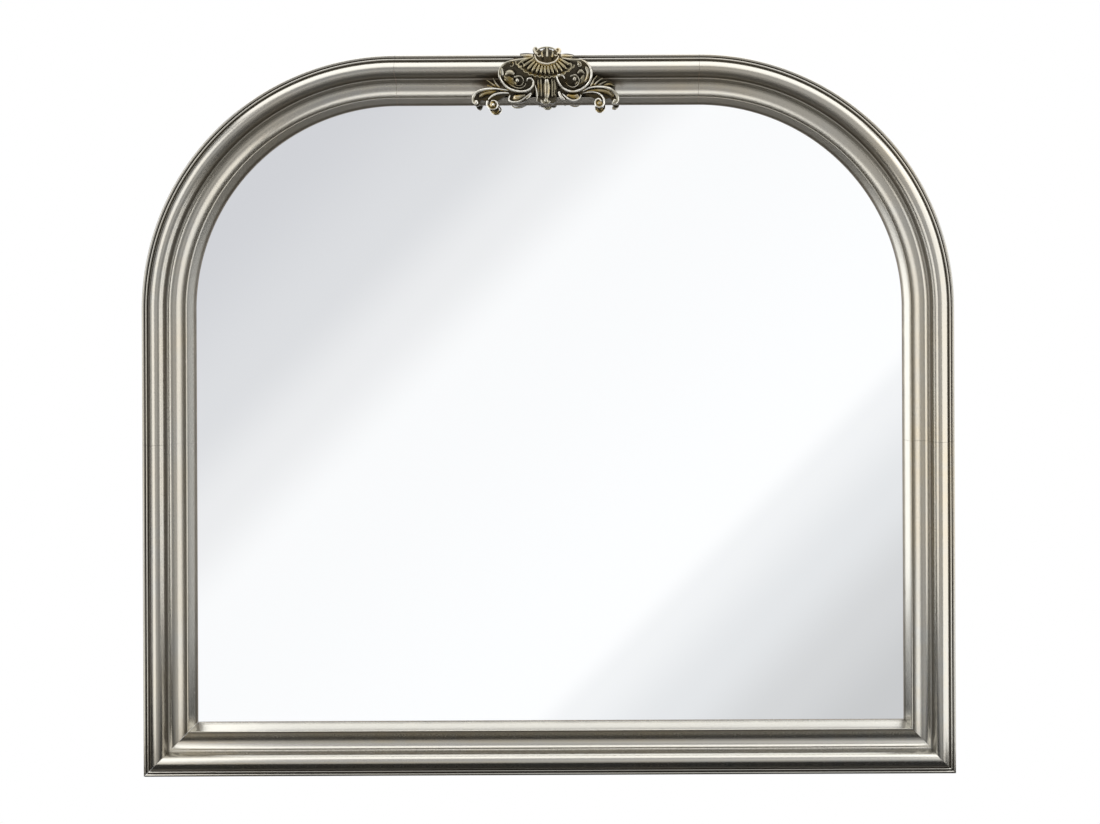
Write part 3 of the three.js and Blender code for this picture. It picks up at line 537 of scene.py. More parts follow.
rightScrollSizes = {
    "back": 22.3,
    "fields": [
        [(41, 6), (54, 9), (64, 17), (68, 26), (66, 39), (52, 52), (37, 55.5), (22, 51), (11.5, 36),
         (13, 15), (26, 7.5)],
        [(38, 49), (57, 51), (78, 46), (95, 51), (106, 61), (106, 70), (100, 72), (93, 64), (82, 66),
         (72, 65), (60, 59)],
        [(17, 50), (23, 62), (32, 66), (42, 68), (50, 61), (53, 49)],
        [(64, 45), (68, 36), (76, 33), (81, 37), (90, 38), (101, 46), (90, 48), (74, 50)],
    ],
    "pocketDepth": 6.0,
    "strokes": [
        ([(51, 9.7), (59.5, 15.1), (65.2, 24.2), (65.5, 33.8), (61.0, 43.4), (50.7, 51.4), (37.5, 54.6),
          (25.0, 50.6), (17.6, 42.3), (15.2, 35.2), (18.6, 32.0), (24.4, 33.3),
          (26.4, 37.6)], 2.1, 0.5, "both"),
        ([(22.0, 7.5), (28.0, 8.6), (35.4, 10.0), (44.2, 10.4), (52.0, 9.9)], 1.8, 0.5, "both"),
        ([(45.2, 13.6), (49.4, 14.6), (50.6, 18.6), (47.6, 20.3), (45.5, 17.6)], 1.5, -1.0, "tail"),
        ([(57.1, 20.1), (61.0, 27.6), (59.8, 35.3), (55.1, 41.5)], 3.4, -3.0, "both"),
        ([(45.2, 29.7), (50.4, 26.0), (55.7, 30.0)], 3.0, -3.5, "both"),
        ([(34.4, 33.8), (42.1, 31.9), (47.2, 37.2), (46.3, 44.2), (39.0, 48.3), (31.0, 45.7),
          (27.9, 40.8)], 1.6, -1.5, "tail"),
        ([(53.0, 54.0), (63.9, 49.3), (77.8, 48.2), (92.9, 50.9), (102.0, 58.1), (104.6, 65.9),
          (101.0, 71.2), (96.2, 70.2)], 2.3, 0.5, "head"),
        ([(52.2, 56.9), (67.0, 55.4), (77.2, 58.0), (83.4, 64.4), (83.6, 72.0), (78.2, 76.6),
          (72.4, 74.0), (71.8, 68.1), (76.2, 65.3), (79.8, 68.9)], 1.8, 0.8, "head"),
        ([(62, 53.0), (76, 52.2), (88, 54.4), (97, 60.5)], 1.0, -2.6, "both"),
        ([(22.5, 57.1), (30.5, 64.2), (39.0, 67.4), (46.8, 65.2), (50.6, 58.9)], 1.5, 0.5, "both"),
        ([(28.0, 58.5), (38.0, 61.5), (47.0, 58.0)], 5.8, -5.4, "both"),
        ([(60.0, 20.0), (58.0, 30.0), (50.0, 38.0), (41.0, 45.0)], 8.5, -10.6, "both"),
        ([(58.0, 54.0), (75.0, 51.8), (89.0, 54.0), (98.0, 61.0)], 4.4, -5.2, "both"),
        ([(17.4, 53.5), (20.0, 60.6), (25.8, 66.2)], 2.7, 0.0, "both"),
        ([(65.3, 46.4), (68.4, 39.2), (74.6, 32.4)], 2.2, -3.0, "tail"),
        ([(67.9, 46.9), (75.7, 40.1), (82.6, 36.2)], 2.2, -3.0, "tail"),
        ([(73.9, 46.9), (81.8, 42.6), (88.4, 40.2)], 2.0, -3.0, "tail"),
        ([(80.0, 47.4), (91.4, 43.9), (101.5, 47.5)], 2.6, -4.5, "tail"),
    ],
    "balls": [(40.9, 37.2, 3.3, 0.0), (100.0, 68.0, 3.4, 0.0), (77.2, 70.6, 5.0, -2.0),
              (46.8, 17.2, 2.0, 0.0)],
}


def coverRise(inset):
    line = crestSizes["cover"]
    for (lowInset, lowRise), (highInset, highRise) in zip(line, line[1:]):
        if inset <= highInset:
            share = (inset - lowInset) / (highInset - lowInset)
            return lowRise + (highRise - lowRise) * share
    return line[-1][1]


def crestSpot(x, inset, rise):
    return Vector((x, crestSizes["backY"] - rise, crestSizes["railTop"] - inset)) * millimetre


def smoothLine(points, steps, closed=False):
    # a smooth line through the points, as many steps between each two
    count = len(points)
    spans = count if closed else count - 1
    line = []
    for span in range(spans):
        corners = []
        for shift in (-1, 0, 1, 2):
            index = span + shift
            corners.append(points[index % count] if closed else points[min(max(index, 0), count - 1)])
        for step in range(steps):
            t = step / steps
            line.append(tuple(0.5 * (2 * b + (c - a) * t + (2 * a - 5 * b + 4 * c - d) * t * t
                                     + (3 * b - a - 3 * c + d) * t ** 3)
                              for a, b, c, d in zip(*corners)))
    if not closed:
        line.append(points[-1])
    return line


def taperShare(kind, share):
    if kind == "both":
        return 0.3 + 0.7 * math.sqrt(max(math.sin(math.pi * share), 0))
    if kind == "tail":
        return 1 - 0.72 * share ** 1.4
    if kind == "head":
        return 0.35 + 0.65 * min(1, share * 2.5)
    if kind == "rib":
        return 0.42 + 0.58 * min(1, share * 1.15)
    if kind == "bulb":
        return 0.45 + 0.55 * math.sin(math.pi * min(1, 0.08 + 0.92 * share) ** 1.5)
    return 1.0


def makeStroke(points, radius, lift, taper, rises=None):
    # a tapered bar laid over the cover line, or at rises of its own
    rises = rises or [coverRise(inset) + lift for x, inset in points]
    spots = smoothLine([(*point, rise) for point, rise in zip(points, rises)], crestSizes["strokeSteps"])
    last = len(spots) - 1
    shares = [taperShare(taper, index / last) for index in range(len(spots))]
    return layBar("stroke", [crestSpot(*spot) for spot in spots], radius, shares)


def makeBall(x, inset, radius, lift):
    clearSelection()
    spot = crestSpot(x, inset, coverRise(inset) + lift)
    size = radius * millimetre
    bpy.ops.mesh.primitive_uv_sphere_add(segments=20, ring_count=12, radius=size, location=spot)
    ball = bpy.context.object
    settle(ball)
    return ball


def makeCover(depth):
    # everything behind the cover line, less the depth of the pockets
    line, half = crestSizes["cover"], crestSizes["coverHalf"]
    outline = [crestSpot(-half, line[0][0], 0)]
    outline += [crestSpot(-half, inset, rise - depth) for inset, rise in line]
    outline.append(crestSpot(-half, line[-1][0], 0))
    cover = traceOutline("cover", outline)
    pushOut(cover, (2 * half * millimetre, 0, 0))
    cleanUp(cover)
    return cover


def makeField(outline, back, depth):
    # the ground between the strokes: an outline pushed forwards and cut off along the cover line
    points = smoothLine(outline, crestSizes["fieldSteps"], closed=True)
    field = traceOutline("field", [crestSpot(x, inset, back) for x, inset in points])
    pushOut(field, (0, -crestSizes["fieldHeight"] * millimetre, 0))
    cleanUp(field)
    cutWith(field, makeCover(depth), "INTERSECT")
    return field


def meltTogether(parts, name):
    piece = joinPieces(parts, name)
    applyModifier(piece, "REMESH", mode="VOXEL", voxel_size=crestSizes["voxel"] * millimetre)
    applyModifier(piece, "SMOOTH", factor=0.5, iterations=3)
    pickUp(piece)
    bpy.ops.object.shade_smooth()
    return piece


def makeCasting(name, sizes):
    parts = [makeField(outline, sizes["back"], sizes["pocketDepth"]) for outline in sizes["fields"]]
    parts += [makeStroke(*stroke) for stroke in sizes["strokes"]]
    parts += [makeBall(*ball) for ball in sizes["balls"]]
    return meltTogether(parts, name)


def makeShell(sizes):
    # a fan of ribs about a hinge, with a scalloped border: out at each rib, in between them
    hingeX, hingeInset = sizes["hinge"]
    left, right = math.radians(sizes["left"]), math.radians(sizes["right"])
    pitch = (right - left) / sizes["ribs"]
    start, steps = sizes["start"], sizes["ribSteps"]

    def fanSpot(turn, radius):
        return hingeX + radius * math.sin(turn), hingeInset + radius * math.cos(turn)

    def reachAt(turn):
        return sizes["reach"] + sizes["flare"] * math.sin(turn) ** 2

    parts, edge, root, border = [], [], [], []
    for rib in range(sizes["ribs"]):
        turn = left + pitch * (rib + 0.5)
        points, rises = [], []
        for step in range(steps + 1):
            share = step / steps
            spot = fanSpot(turn, start + (reachAt(turn) - sizes["ribEnd"] - start) * share)
            swell = sizes["swell"] * math.sin(math.pi * (0.15 + 0.85 * share)) ** 0.6
            points.append(spot)
            rises.append(coverRise(spot[1]) + swell - sizes["ribSink"])
        parts.append(makeStroke(points, sizes["rib"], 0, "rib", rises))
        edge.append(fanSpot(turn, reachAt(turn) + sizes["fieldReach"]))
        root.append(fanSpot(turn, start))
    for half in range(2 * sizes["ribs"] + 1):
        turn = left + pitch * half / 2
        scallop = sizes["scallop"] if half % 2 else 0
        border.append(fanSpot(turn, reachAt(turn) + scallop + sizes["borderReach"]))
    parts.append(makeStroke(border, sizes["border"], sizes["borderLift"], "even"))
    parts.append(makeField(root + edge[::-1], sizes["back"], sizes["pocketDepth"]))
    parts += [makeStroke(*stroke) for stroke in sizes["strokes"]]
    return meltTogether(parts, "fanShell")


def markHollows(piece, rounds):
    # two attributes for the finish: "hollow", how far a point lies below its surroundings, and
    # "relief", how far it stands above the cover line, both in millimetres
    mesh = piece.data
    count = len(mesh.vertices)
    spots = np.empty(count * 3)
    mesh.vertices.foreach_get("co", spots)
    spots = spots.reshape(-1, 3)
    normals = np.empty(count * 3)
    mesh.vertices.foreach_get("normal", normals)
    ends = np.empty(len(mesh.edges) * 2, dtype=np.int32)
    mesh.edges.foreach_get("vertices", ends)
    one, other = ends.reshape(-1, 2).T
    neighbours = np.bincount(one, minlength=count) + np.bincount(other, minlength=count)
    smooth = spots.copy()
    for _ in range(rounds):
        for axis in range(3):
            line = smooth[:, axis]
            total = np.bincount(one, line[other], count) + np.bincount(other, line[one], count)
            smooth[:, axis] = total / np.maximum(neighbours, 1)
    hollow = ((smooth - spots) * normals.reshape(-1, 3)).sum(1) / millimetre
    insets = crestSizes["railTop"] - spots[:, 2] / millimetre
    line = np.array(crestSizes["cover"])
    relief = crestSizes["backY"] - spots[:, 1] / millimetre - np.interp(insets, line[:, 0], line[:, 1])
    for name, values in (("hollow", hollow), ("relief", relief)):
        mesh.attributes.new(name, "FLOAT", "POINT").data.foreach_set("value", values.astype(np.float32))


crestPieces = {
    "crest_plume": makeCasting("crestPlume", plumeSizes),
    "crest_shell": makeShell(shellSizes),
    "crest_drop": makeCasting("crestDrop", dropSizes),
    "crest_left_scroll": makeCasting("leftScroll", leftScrollSizes),
    "crest_right_scroll": makeCasting("rightScroll", rightScrollSizes),
}
for node, casting in crestPieces.items():
    markHollows(casting, crestSizes["hollowRounds"])
    place(casting, "root", "antique_leaf", node)
print("crest made")


# the back: turn buttons, screws, hangers and bumpers
backSizes = {"face": 20.5, "gap": 0.3, "clearance": 0.3, "buttonLength": 34, "buttonWidth": 12,
             "buttonThickness": 2, "buttonSoftness": 0.28, "buttonSteps": 14, "crestScrewLength": 57,
             "crestScrewX": 18, "crestScrewZ": 1043, "hangerX": 576, "barHeight": 650, "strapWidth": 14,
             "strapLength": 54, "strapThickness": 1.5, "strapScrews": (15, 39), "strapCorner": 3,
             "strapSoftness": 0.2, "rollEnd": 310, "rollSteps": 30, "wire": 1.6, "ringWidth": 30,
             "ringHeight": 27, "ringCorner": 5, "cornerSteps": 8, "bowSteps": 32,
             "bumperRadius": 9, "bumperHeight": 8}
# core, neck and tip are shares of the shank, and plain is the share of the length without thread
screwSizes = {"head": 4, "headHeight": 2, "rim": 0.45, "shank": 1.75, "length": 14, "point": 1.2,
              "pitch": 1.2, "core": 0.72, "neck": 0.95, "tip": 0.4, "plain": 0.3, "slotWidth": 1.7,
              "slotDepth": 1.0, "slotReach": 1.7, "dome": (0.12, 0.4, 0.7, 1.0, 1.25, 1.45),
              "sides": 28}
# each button's screw as (x, z), and the way to the board in degrees
buttonSpots = {"top_left": (-150, 1018, -90), "top_right": (150, 1018, -90),
               "bottom_left": (-280, 46, 90), "bottom_right": (280, 46, 90),
               "stile_left": (-554, 250, 0), "stile_right": (554, 250, 180),
               "shoulder_left": (-554, 560, 0), "shoulder_right": (554, 560, 180)}
bumperSpots = {"lower_left": (-571, 90), "lower_right": (571, 90),
               "upper_left": (-469.7, 933.7), "upper_right": (469.7, 933.7)}


def behind(x, depth, z):
    # a spot by its distance behind the frame's back face
    return Vector((x, backSizes["face"] + depth, z)) * millimetre


def arcTurns(end, steps):
    return [end * i / steps for i in range(steps + 1)]


def turnProfile(name, profile, x, z, steps=32):
    # a profile of (radius, depth behind the frame) turned round an axis along Y
    piece = traceOutline(name, [behind(x + radius, depth, z) for radius, depth in profile], closed=False)
    editAll(piece)
    bpy.ops.mesh.spin(steps=steps, angle=2 * math.pi, center=behind(x, 0, z), axis=(0, 1, 0))
    stopEditing()
    cleanUp(piece)
    return piece


def drillOut(piece, x, z, depth):
    radius = screwSizes["shank"] + backSizes["clearance"]
    cutWith(piece, turnProfile("drill", [(0, -1), (radius, -1), (radius, depth), (0, depth)], x, z))


def softenEdges(piece, width):
    applyModifier(piece, "BEVEL", width=width * millimetre, segments=2, limit_method="ANGLE",
                  angle_limit=math.radians(40))
    smoothByAngle(piece, 35)


def makeScrew(name, x, z, seat, length, slotTurn):
    # a pan-head screw with a thread and a slot, its head towards the wall
    sizes = screwSizes
    head, height, rim = sizes["head"], sizes["headHeight"], sizes["rim"]
    shank, pitch = sizes["shank"], sizes["pitch"]
    core, neck, tip = (shank * sizes[part] for part in ("core", "neck", "tip"))
    profile = [(0, seat - length), (tip, seat - length + sizes["point"])]
    depth = seat - length + 2 * sizes["point"]
    while depth < seat - length * sizes["plain"]:
        profile += [(core, depth), (shank, depth + pitch * 0.45), (core, depth + pitch * 0.9)]
        depth += pitch
    profile += [(neck, depth + 0.3), (neck, seat), (head - 0.2, seat), (head, seat + 0.25)]
    profile += [(head * math.cos(turn), seat + rim + (height - rim) * math.sin(turn))
                for turn in sizes["dome"]]
    profile.append((0, seat + height))
    screw = turnProfile(name, profile, x, z, sizes["sides"])
    clearSelection()
    bpy.ops.mesh.primitive_cube_add(size=1, location=behind(x, seat + height, z))
    slot = bpy.context.object
    slotSize = Vector((head * sizes["slotReach"], sizes["slotWidth"], sizes["slotDepth"]))
    middle = behind(x, seat, z)
    bpy.ops.transform.resize(value=slotSize * millimetre)
    bpy.ops.transform.rotate(value=math.radians(slotTurn), orient_axis="Y", center_override=middle)
    settle(slot)
    cutWith(screw, slot)
    smoothByAngle(screw, 35)
    return screw


def makeButton(name, x, z, way):
    # a flat bar with round ends, from its screw towards the board
    sizes = backSizes
    radius = sizes["buttonWidth"] / 2
    reach = sizes["buttonLength"] - sizes["buttonWidth"]
    heading = math.radians(way)
    outline = []
    for centre, start in ((0, math.pi / 2), (reach, -math.pi / 2)):
        for i in range(sizes["buttonSteps"] + 1):
            turn = start + math.pi * i / sizes["buttonSteps"]
            along, across = centre + radius * math.cos(turn), radius * math.sin(turn)
            outline.append(behind(x + along * math.cos(heading) - across * math.sin(heading), sizes["gap"],
                                  z + along * math.sin(heading) + across * math.cos(heading)))
    button = traceOutline(name, outline)
    pushOut(button, (0, sizes["buttonThickness"] * millimetre, 0))
    cleanUp(button)
    drillOut(button, x, z, 4)
    softenEdges(button, sizes["buttonSoftness"])
    return button


def makeStrap(name, x):
    # a strip rolled round the ring's bar at its top end
    sizes = backSizes
    bar, thick, gap = sizes["barHeight"], sizes["strapThickness"], sizes["gap"]
    foot = bar - sizes["strapLength"]
    inner = sizes["wire"] + sizes["clearance"]
    outer = inner + thick
    centre = gap + outer
    half = sizes["strapWidth"] / 2
    turns = arcTurns(math.radians(sizes["rollEnd"]), sizes["rollSteps"])
    outline = [(gap + thick, foot), (gap, foot)]
    outline += [(centre - outer * math.cos(turn), bar + outer * math.sin(turn)) for turn in turns]
    outline += [(centre - inner * math.cos(turn), bar + inner * math.sin(turn)) for turn in turns[::-1]]
    strap = traceOutline(name, [behind(x - half, depth, z) for depth, z in outline])
    pushOut(strap, (2 * half * millimetre, 0, 0))
    cleanUp(strap)
    for side in (-1, 1):
        sliceOff(strap, behind(x + side * (half - sizes["strapCorner"]), 0, foot), (side, 0, -1))
    for drop in sizes["strapScrews"]:
        drillOut(strap, x, bar - drop, 3)
    softenEdges(strap, sizes["strapSoftness"])
    return strap


def makeRing(name, x):
    # the wire's path on its own plane, then leant on the frame
    sizes = backSizes
    wire, corner = sizes["wire"], sizes["ringCorner"]
    half = sizes["ringWidth"] / 2 - wire
    top = sizes["ringHeight"] - wire
    quarter, bow = arcTurns(math.pi / 2, sizes["cornerSteps"]), arcTurns(math.pi, sizes["bowSteps"])
    path = [(0, 0)]
    path += [(half - corner + corner * math.sin(t), corner - corner * math.cos(t)) for t in quarter]
    path += [(half * math.cos(t), top - half + half * math.sin(t)) for t in bow]
    path += [(-half + corner - corner * math.cos(t), corner - corner * math.sin(t)) for t in quarter]
    eye = wire + sizes["clearance"] + sizes["strapThickness"]
    bar = sizes["gap"] + eye
    lean = math.asin((eye - wire) / top)
    spots = [behind(x + across, bar - up * math.sin(lean), sizes["barHeight"] + up * math.cos(lean))
             for across, up in path]
    ring = layBar(name, spots, wire, roundness=4)
    bpy.ops.object.shade_smooth()
    return ring


def makeBumper(name, x, z):
    radius, height = backSizes["bumperRadius"], backSizes["bumperHeight"]
    profile = [(0, 0.3), (radius - 0.3, 0.3), (radius, 0.6), (radius, 2.6)]
    profile += [(radius * 0.86 + radius * 0.14 * math.cos(t), 2.8 + (height - 2.8) * math.sin(t))
                for t in (0.3, 0.7, 1.1, 1.4)]
    profile += [(radius * 0.82, height), (radius * 0.45, height - 0.15), (radius * 0.3, height - 0.9),
                (0, height - 1.1)]
    bumper = turnProfile(name, profile, x, z, 40)
    smoothByAngle(bumper, 40)
    return bumper


zincPieces, brassPieces, rubberPieces = [], [], []
for index, (name, (x, z, way)) in enumerate(buttonSpots.items()):
    button = makeButton(f"{name}TurnButton", x, z, way)
    place(button, f"{name}_turn_button", "zinc_plate", f"{name}_button")
    seat = 2 * backSizes["gap"] + backSizes["buttonThickness"]
    screw = makeScrew(f"{name}ButtonScrew", x, z, seat, screwSizes["length"], 25 + 47 * index)
    place(screw, "root", "zinc_plate", f"{name}_button_screw")
    zincPieces += [button, screw]
for side, name in ((-1, "left"), (1, "right")):
    crestScrew = makeScrew(f"{name}CrestScrew", side * backSizes["crestScrewX"], backSizes["crestScrewZ"],
                           backSizes["gap"], backSizes["crestScrewLength"], 35 + 70 * side)
    place(crestScrew, "root", "zinc_plate", f"crest_{name}_screw")
    zincPieces.append(crestScrew)
    x = side * backSizes["hangerX"]
    strap = makeStrap(f"{name}HangerStrap", x)
    place(strap, "root", "brass_plate", f"{name}_hanger_strap")
    ring = makeRing(f"{name}HangingRing", x)
    place(ring, f"{name}_ring", "brass_plate", f"{name}_hanging_ring")
    brassPieces += [strap, ring]
    seat = 2 * backSizes["gap"] + backSizes["strapThickness"]
    for index, (word, drop) in enumerate(zip(("upper", "lower"), backSizes["strapScrews"])):
        screw = makeScrew(f"{name}Strap{word.title()}Screw", x, backSizes["barHeight"] - drop, seat,
                          screwSizes["length"], 60 + 65 * index * side)
        place(screw, "root", "brass_plate", f"{name}_strap_{word}_screw")
        brassPieces.append(screw)
for name, spot in bumperSpots.items():
    bumper = makeBumper(f"{name}Bumper", *spot)
    place(bumper, "root", "rubber", f"{name}_bumper")
    rubberPieces.append(bumper)
print("back hardware made")


# silver leaf on the frame, and bare wood behind it
leafValues = {
    "silver": (0.33, 0.31, 0.27), "warm": (0.35, 0.31, 0.24), "cool": (0.31, 0.305, 0.285),
    # the dark colour on this line is the glaze, and is also laid on as painted shade
    # the pale colour on this line is a painted highlight on the frame
    "wearAndHighlight": (0.49, 0.475, 0.43), "patinaAndShade": (0.075, 0.062, 0.042), "stain": (0.085, 0.052, 0.018),
    "wood": (0.46, 0.33, 0.20), "grain": (0.30, 0.19, 0.10), "roughness": 0.24, "woodRoughness": 0.62,
    # how much dark glaze is left in each member of the moulding, by inset as a share of the section
    "sectionWidth": 70.0,
    "glaze": [(0.0, 0.35), (0.02, 0.06), (0.054, 0.08), (0.059, 1.0), (0.070, 1.0), (0.074, 0.1),
              (0.112, 0.1), (0.118, 1.0), (0.130, 1.0), (0.140, 0.25), (0.20, 0.06), (0.36, 0.05),
              (0.44, 0.1), (0.465, 0.5), (0.49, 0.45), (0.505, 0.08), (0.66, 0.1), (0.80, 0.10),
              (0.862, 0.30), (0.874, 0.06), (0.893, 0.05), (0.905, 0.12), (0.96, 0.12), (0.985, 0.7)],
    # members with a painted highlight, pale leaf on the lip and the fillet, by inset in millimetres
    "lip": (62.6, 69.0), "fillet": (34.8, 37.3),
    # metres: the brown stain round the crest, and where the wood is bare
    "stainMiddle": 1.0245, "stainHalf": (0.106, 0.0165),
    "backFace": (0.0199, 0.0202), "rebateFace": (0.0121, 0.0123), "rebateInset": 57.9,
    # metres: where the grain turns from one section to the next
    "railHeight": 0.0705, "grainRadius": 0.34,
}


def frameInset(x, z, flat, spring):
    # millimetres in from the arched outer edge
    over = abs(x) - flat
    above = z - spring
    right = over.most(0.0)
    up = above.most(0.0)
    corner = (right * right + up * up) ** 0.5
    radius = frameSizes["shoulderRadius"] * millimetre
    return (radius - corner - over.most(above).least(0.0)).least(z) * 1000.0


def makeLeaf(values):
    recipe = Recipe("silver leaf")
    where = recipe.where()
    x, y, z = recipe.split(where)
    flat = (frameSizes["width"] / 2 - frameSizes["shoulderRadius"]) * millimetre
    spring = (frameSizes["height"] - frameSizes["shoulderRadius"]) * millimetre
    inset = frameInset(x, z, flat, spring)
    glaze = recipe.ramp(inset / values["sectionWidth"], values["glaze"])
    # painted light and shade by facing: surfaces facing down are darkened as painted shade, surfaces facing
    # up are lightened as painted highlight
    upwards = recipe.split(recipe.where("Normal"))[2]
    under = (0.0 - upwards).between(-0.05, 0.8)
    over = upwards.between(0.06, 0.45)
    (lipStart, lipEnd), (filletStart, filletEnd) = values["lip"], values["fillet"]
    # painted highlight: pale leaf on the inner lip, but not where it faces down
    lip = (inset - lipStart).between(0.0, 1.5) * (lipEnd - inset).between(0.0, 1.0) * (1.0 - under)
    # painted highlight: pale leaf on the fillet
    fillet = (inset - filletStart).between(0.0, 0.5) * (filletEnd - inset).between(0.0, 0.5)
    mottle = recipe.noise(where, 38.0, 5.0, 0.62)
    fine = recipe.noise(where, 420.0, 3.0, 0.6)
    drift = recipe.noise(where, 3.2, 2.0, 0.5)
    # the dark glaze left in each member, plus painted shade on surfaces facing down and less of it on
    # surfaces facing up
    glazeAndPaintedShade = glaze * (0.80 + 0.45 * (mottle - 0.35)) + 0.5 * under - 0.25 * over + 0.08 * (fine - 0.5)
    glazeAndPaintedShade = glazeAndPaintedShade.between(0.0, 1.05)
    leaf = recipe.mix(drift.between(0.35, 0.65), values["warm"], values["cool"])
    leaf = recipe.mix(mottle.between(0.3, 0.75), leaf, values["silver"])
    # painted highlight: pale leaf on surfaces facing up, on the lip and on the fillet
    leaf = recipe.mix((0.8 * over).most(0.85 * lip).most(0.6 * fillet), leaf, values["wearAndHighlight"])
    # the glaze colour, laid on both as glaze and as painted shade
    colour = recipe.mix(glazeAndPaintedShade, leaf, values["patinaAndShade"])
    halfWidth, halfHeight = values["stainHalf"]
    sideways, up = x / halfWidth, (z - values["stainMiddle"]) / halfHeight
    spread = (sideways * sideways + up * up) ** 0.5 + 0.7 * (mottle - 0.5)
    stain = 1.0 - spread.between(0.80, 1.15)
    colour = recipe.mix(0.8 * stain, colour, values["stain"])
    # the wood's grain runs round the shoulders, along the rails and up the stiles
    above, beyond = z - spring, abs(x) - flat
    rounded = beyond.between(0.0, 0.001) * above.between(0.0, 0.001)
    turn = above.turnFrom(beyond) * values["grainRadius"]
    railHeight = values["railHeight"]
    onRail = (railHeight - inset / 1000.0).between(0.0, 0.001) * (railHeight - z).between(0.0, 0.0005)
    alongRail = onRail.most((flat - abs(x)).between(0.0, 0.001))
    along = turn * rounded + (1.0 - rounded) * (x * alongRail + z * (1.0 - alongRail))
    grain = recipe.noise(recipe.join(inset * 0.55, y * 550.0, along * 14.0), 1.0, 4.0, 0.6)
    pores = recipe.noise(recipe.join(inset * 3.2, y * 3200.0, along * 60.0), 1.0, 2.0, 0.5)
    wood = recipe.mix(grain.between(0.32, 0.7), values["wood"], values["grain"])
    wood = recipe.mix(0.35 * pores.between(0.5, 0.75), wood, values["grain"])
    inRebate = y.between(*values["rebateFace"]) * (inset - values["rebateInset"]).between(0.0, 0.05)
    bare = y.between(*values["backFace"]).most(inRebate)
    colour = recipe.mix(bare, colour, wood)
    finish = values["roughness"] + 0.14 * glazeAndPaintedShade + 0.08 * (fine - 0.5) + 0.04 * (mottle - 0.5) + 0.1 * stain
    roughness = finish + bare * (values["woodRoughness"] - finish)
    metallic = (1.0 - 0.25 * glazeAndPaintedShade - 0.3 * stain) * (1.0 - bare)
    height = fine * 0.5 + mottle * 0.6 + bare * (pores * 1.5 + grain)
    return recipe.surface(colour, roughness, metallic, recipe.bump(height, 0.08, 0.0005))


silverLeaf = makeLeaf(leafValues)
for section in frameSections.values():
    paint(section, silverLeaf)
print("silver leaf made")


# mirror plate: bright in front, clear at its edges and painted behind, told apart by depth in metres
glassValues = {"silver": (0.93, 0.94, 0.95), "edge": (0.32, 0.46, 0.40), "back": (0.17, 0.18, 0.19),
               "edgeFrom": (0.0129, 0.0131), "backFrom": (0.0165, 0.0167)}


def makeMirror(values):
    recipe = Recipe("mirror plate")
    where = recipe.where()
    depth = recipe.split(where)[1]
    haze = recipe.noise(where, 2.4, 3.0, 0.5)
    dust = recipe.noise(where, 160.0, 2.0, 0.5)
    edge = depth.between(*values["edgeFrom"])
    backed = depth.between(*values["backFrom"])
    colour = recipe.mix(edge, values["silver"], values["edge"])
    colour = recipe.mix(backed, colour, values["back"])
    roughness = 0.006 + 0.008 * haze.between(0.4, 0.8) + 0.12 * edge + 0.3 * backed + 0.002 * dust
    return recipe.surface(colour, roughness, 1.0 - edge)


paint(nodes["mirror_glass"], makeMirror(glassValues))
print("mirror plate finished")


# antique leaf on the crest: rubbed pale where it stands out, umber where it lies deep
antiqueValues = {"wearAndHighlight": (0.66, 0.64, 0.58), "ribs": (0.31, 0.275, 0.185), "leaf": (0.20, 0.18, 0.125),
                 "gold": (0.22, 0.155, 0.045), "umber": (0.020, 0.015, 0.008), "roughness": 0.22,
                 # metres: the heights over which the pale colour on the ridges fades, darker towards the top
                 # of the crest
                 "dullHeight": (1.033, 1.055)}


def makeAntiqueLeaf(name, values):
    recipe = Recipe(name)
    where = recipe.where()
    height = recipe.split(where)[2]
    hollow, relief = (recipe.node("ShaderNodeAttribute", {"attribute_name": word}, output="Fac")
                      for word in ("hollow", "relief"))
    blotch = recipe.noise(where, 90.0, 4.0, 0.6)
    patch = recipe.noise(where, 34.0, 2.0, 0.5)
    fine = recipe.noise(where, 900.0, 2.0, 0.6)
    rubbed = (0.0 - hollow + 0.2 * (blotch - 0.5)).between(0.24, 0.80) * relief.between(-3.5, 1.5)
    rubbed = rubbed * (0.3 + 0.7 * patch.between(0.36, 0.56))
    # less of the pale colour towards the top of the crest
    rubbed = rubbed * (1.0 - 0.62 * height.between(*values["dullHeight"]))
    sunk = (hollow + 0.2 * (blotch - 0.5)).between(-0.12, 0.16).most((0.0 - relief).between(2.0, 6.0) * 0.9)
    leaf = recipe.mix(patch.between(0.42, 0.62), values["leaf"], values["gold"])
    colour = recipe.mix(sunk, leaf, values["umber"])
    colour = recipe.mix(rubbed, colour, values["wearAndHighlight"])
    roughness = values["roughness"] + 0.2 * sunk * (1.0 - rubbed) - 0.08 * rubbed + 0.1 * (fine - 0.5)
    metallic = 1.0 - 0.2 * sunk * (1.0 - rubbed)
    return recipe.surface(colour, roughness, metallic, recipe.bump(fine * 0.4 + blotch, 0.18, 0.0004))


antiqueLeaf = makeAntiqueLeaf("antique leaf", antiqueValues)
ribbedLeaf = makeAntiqueLeaf("ribbed leaf", {**antiqueValues, "wearAndHighlight": antiqueValues["ribs"]})
for name, casting in crestPieces.items():
    paint(casting, ribbedLeaf if name == "crest_shell" else antiqueLeaf)
print("antique leaf made")


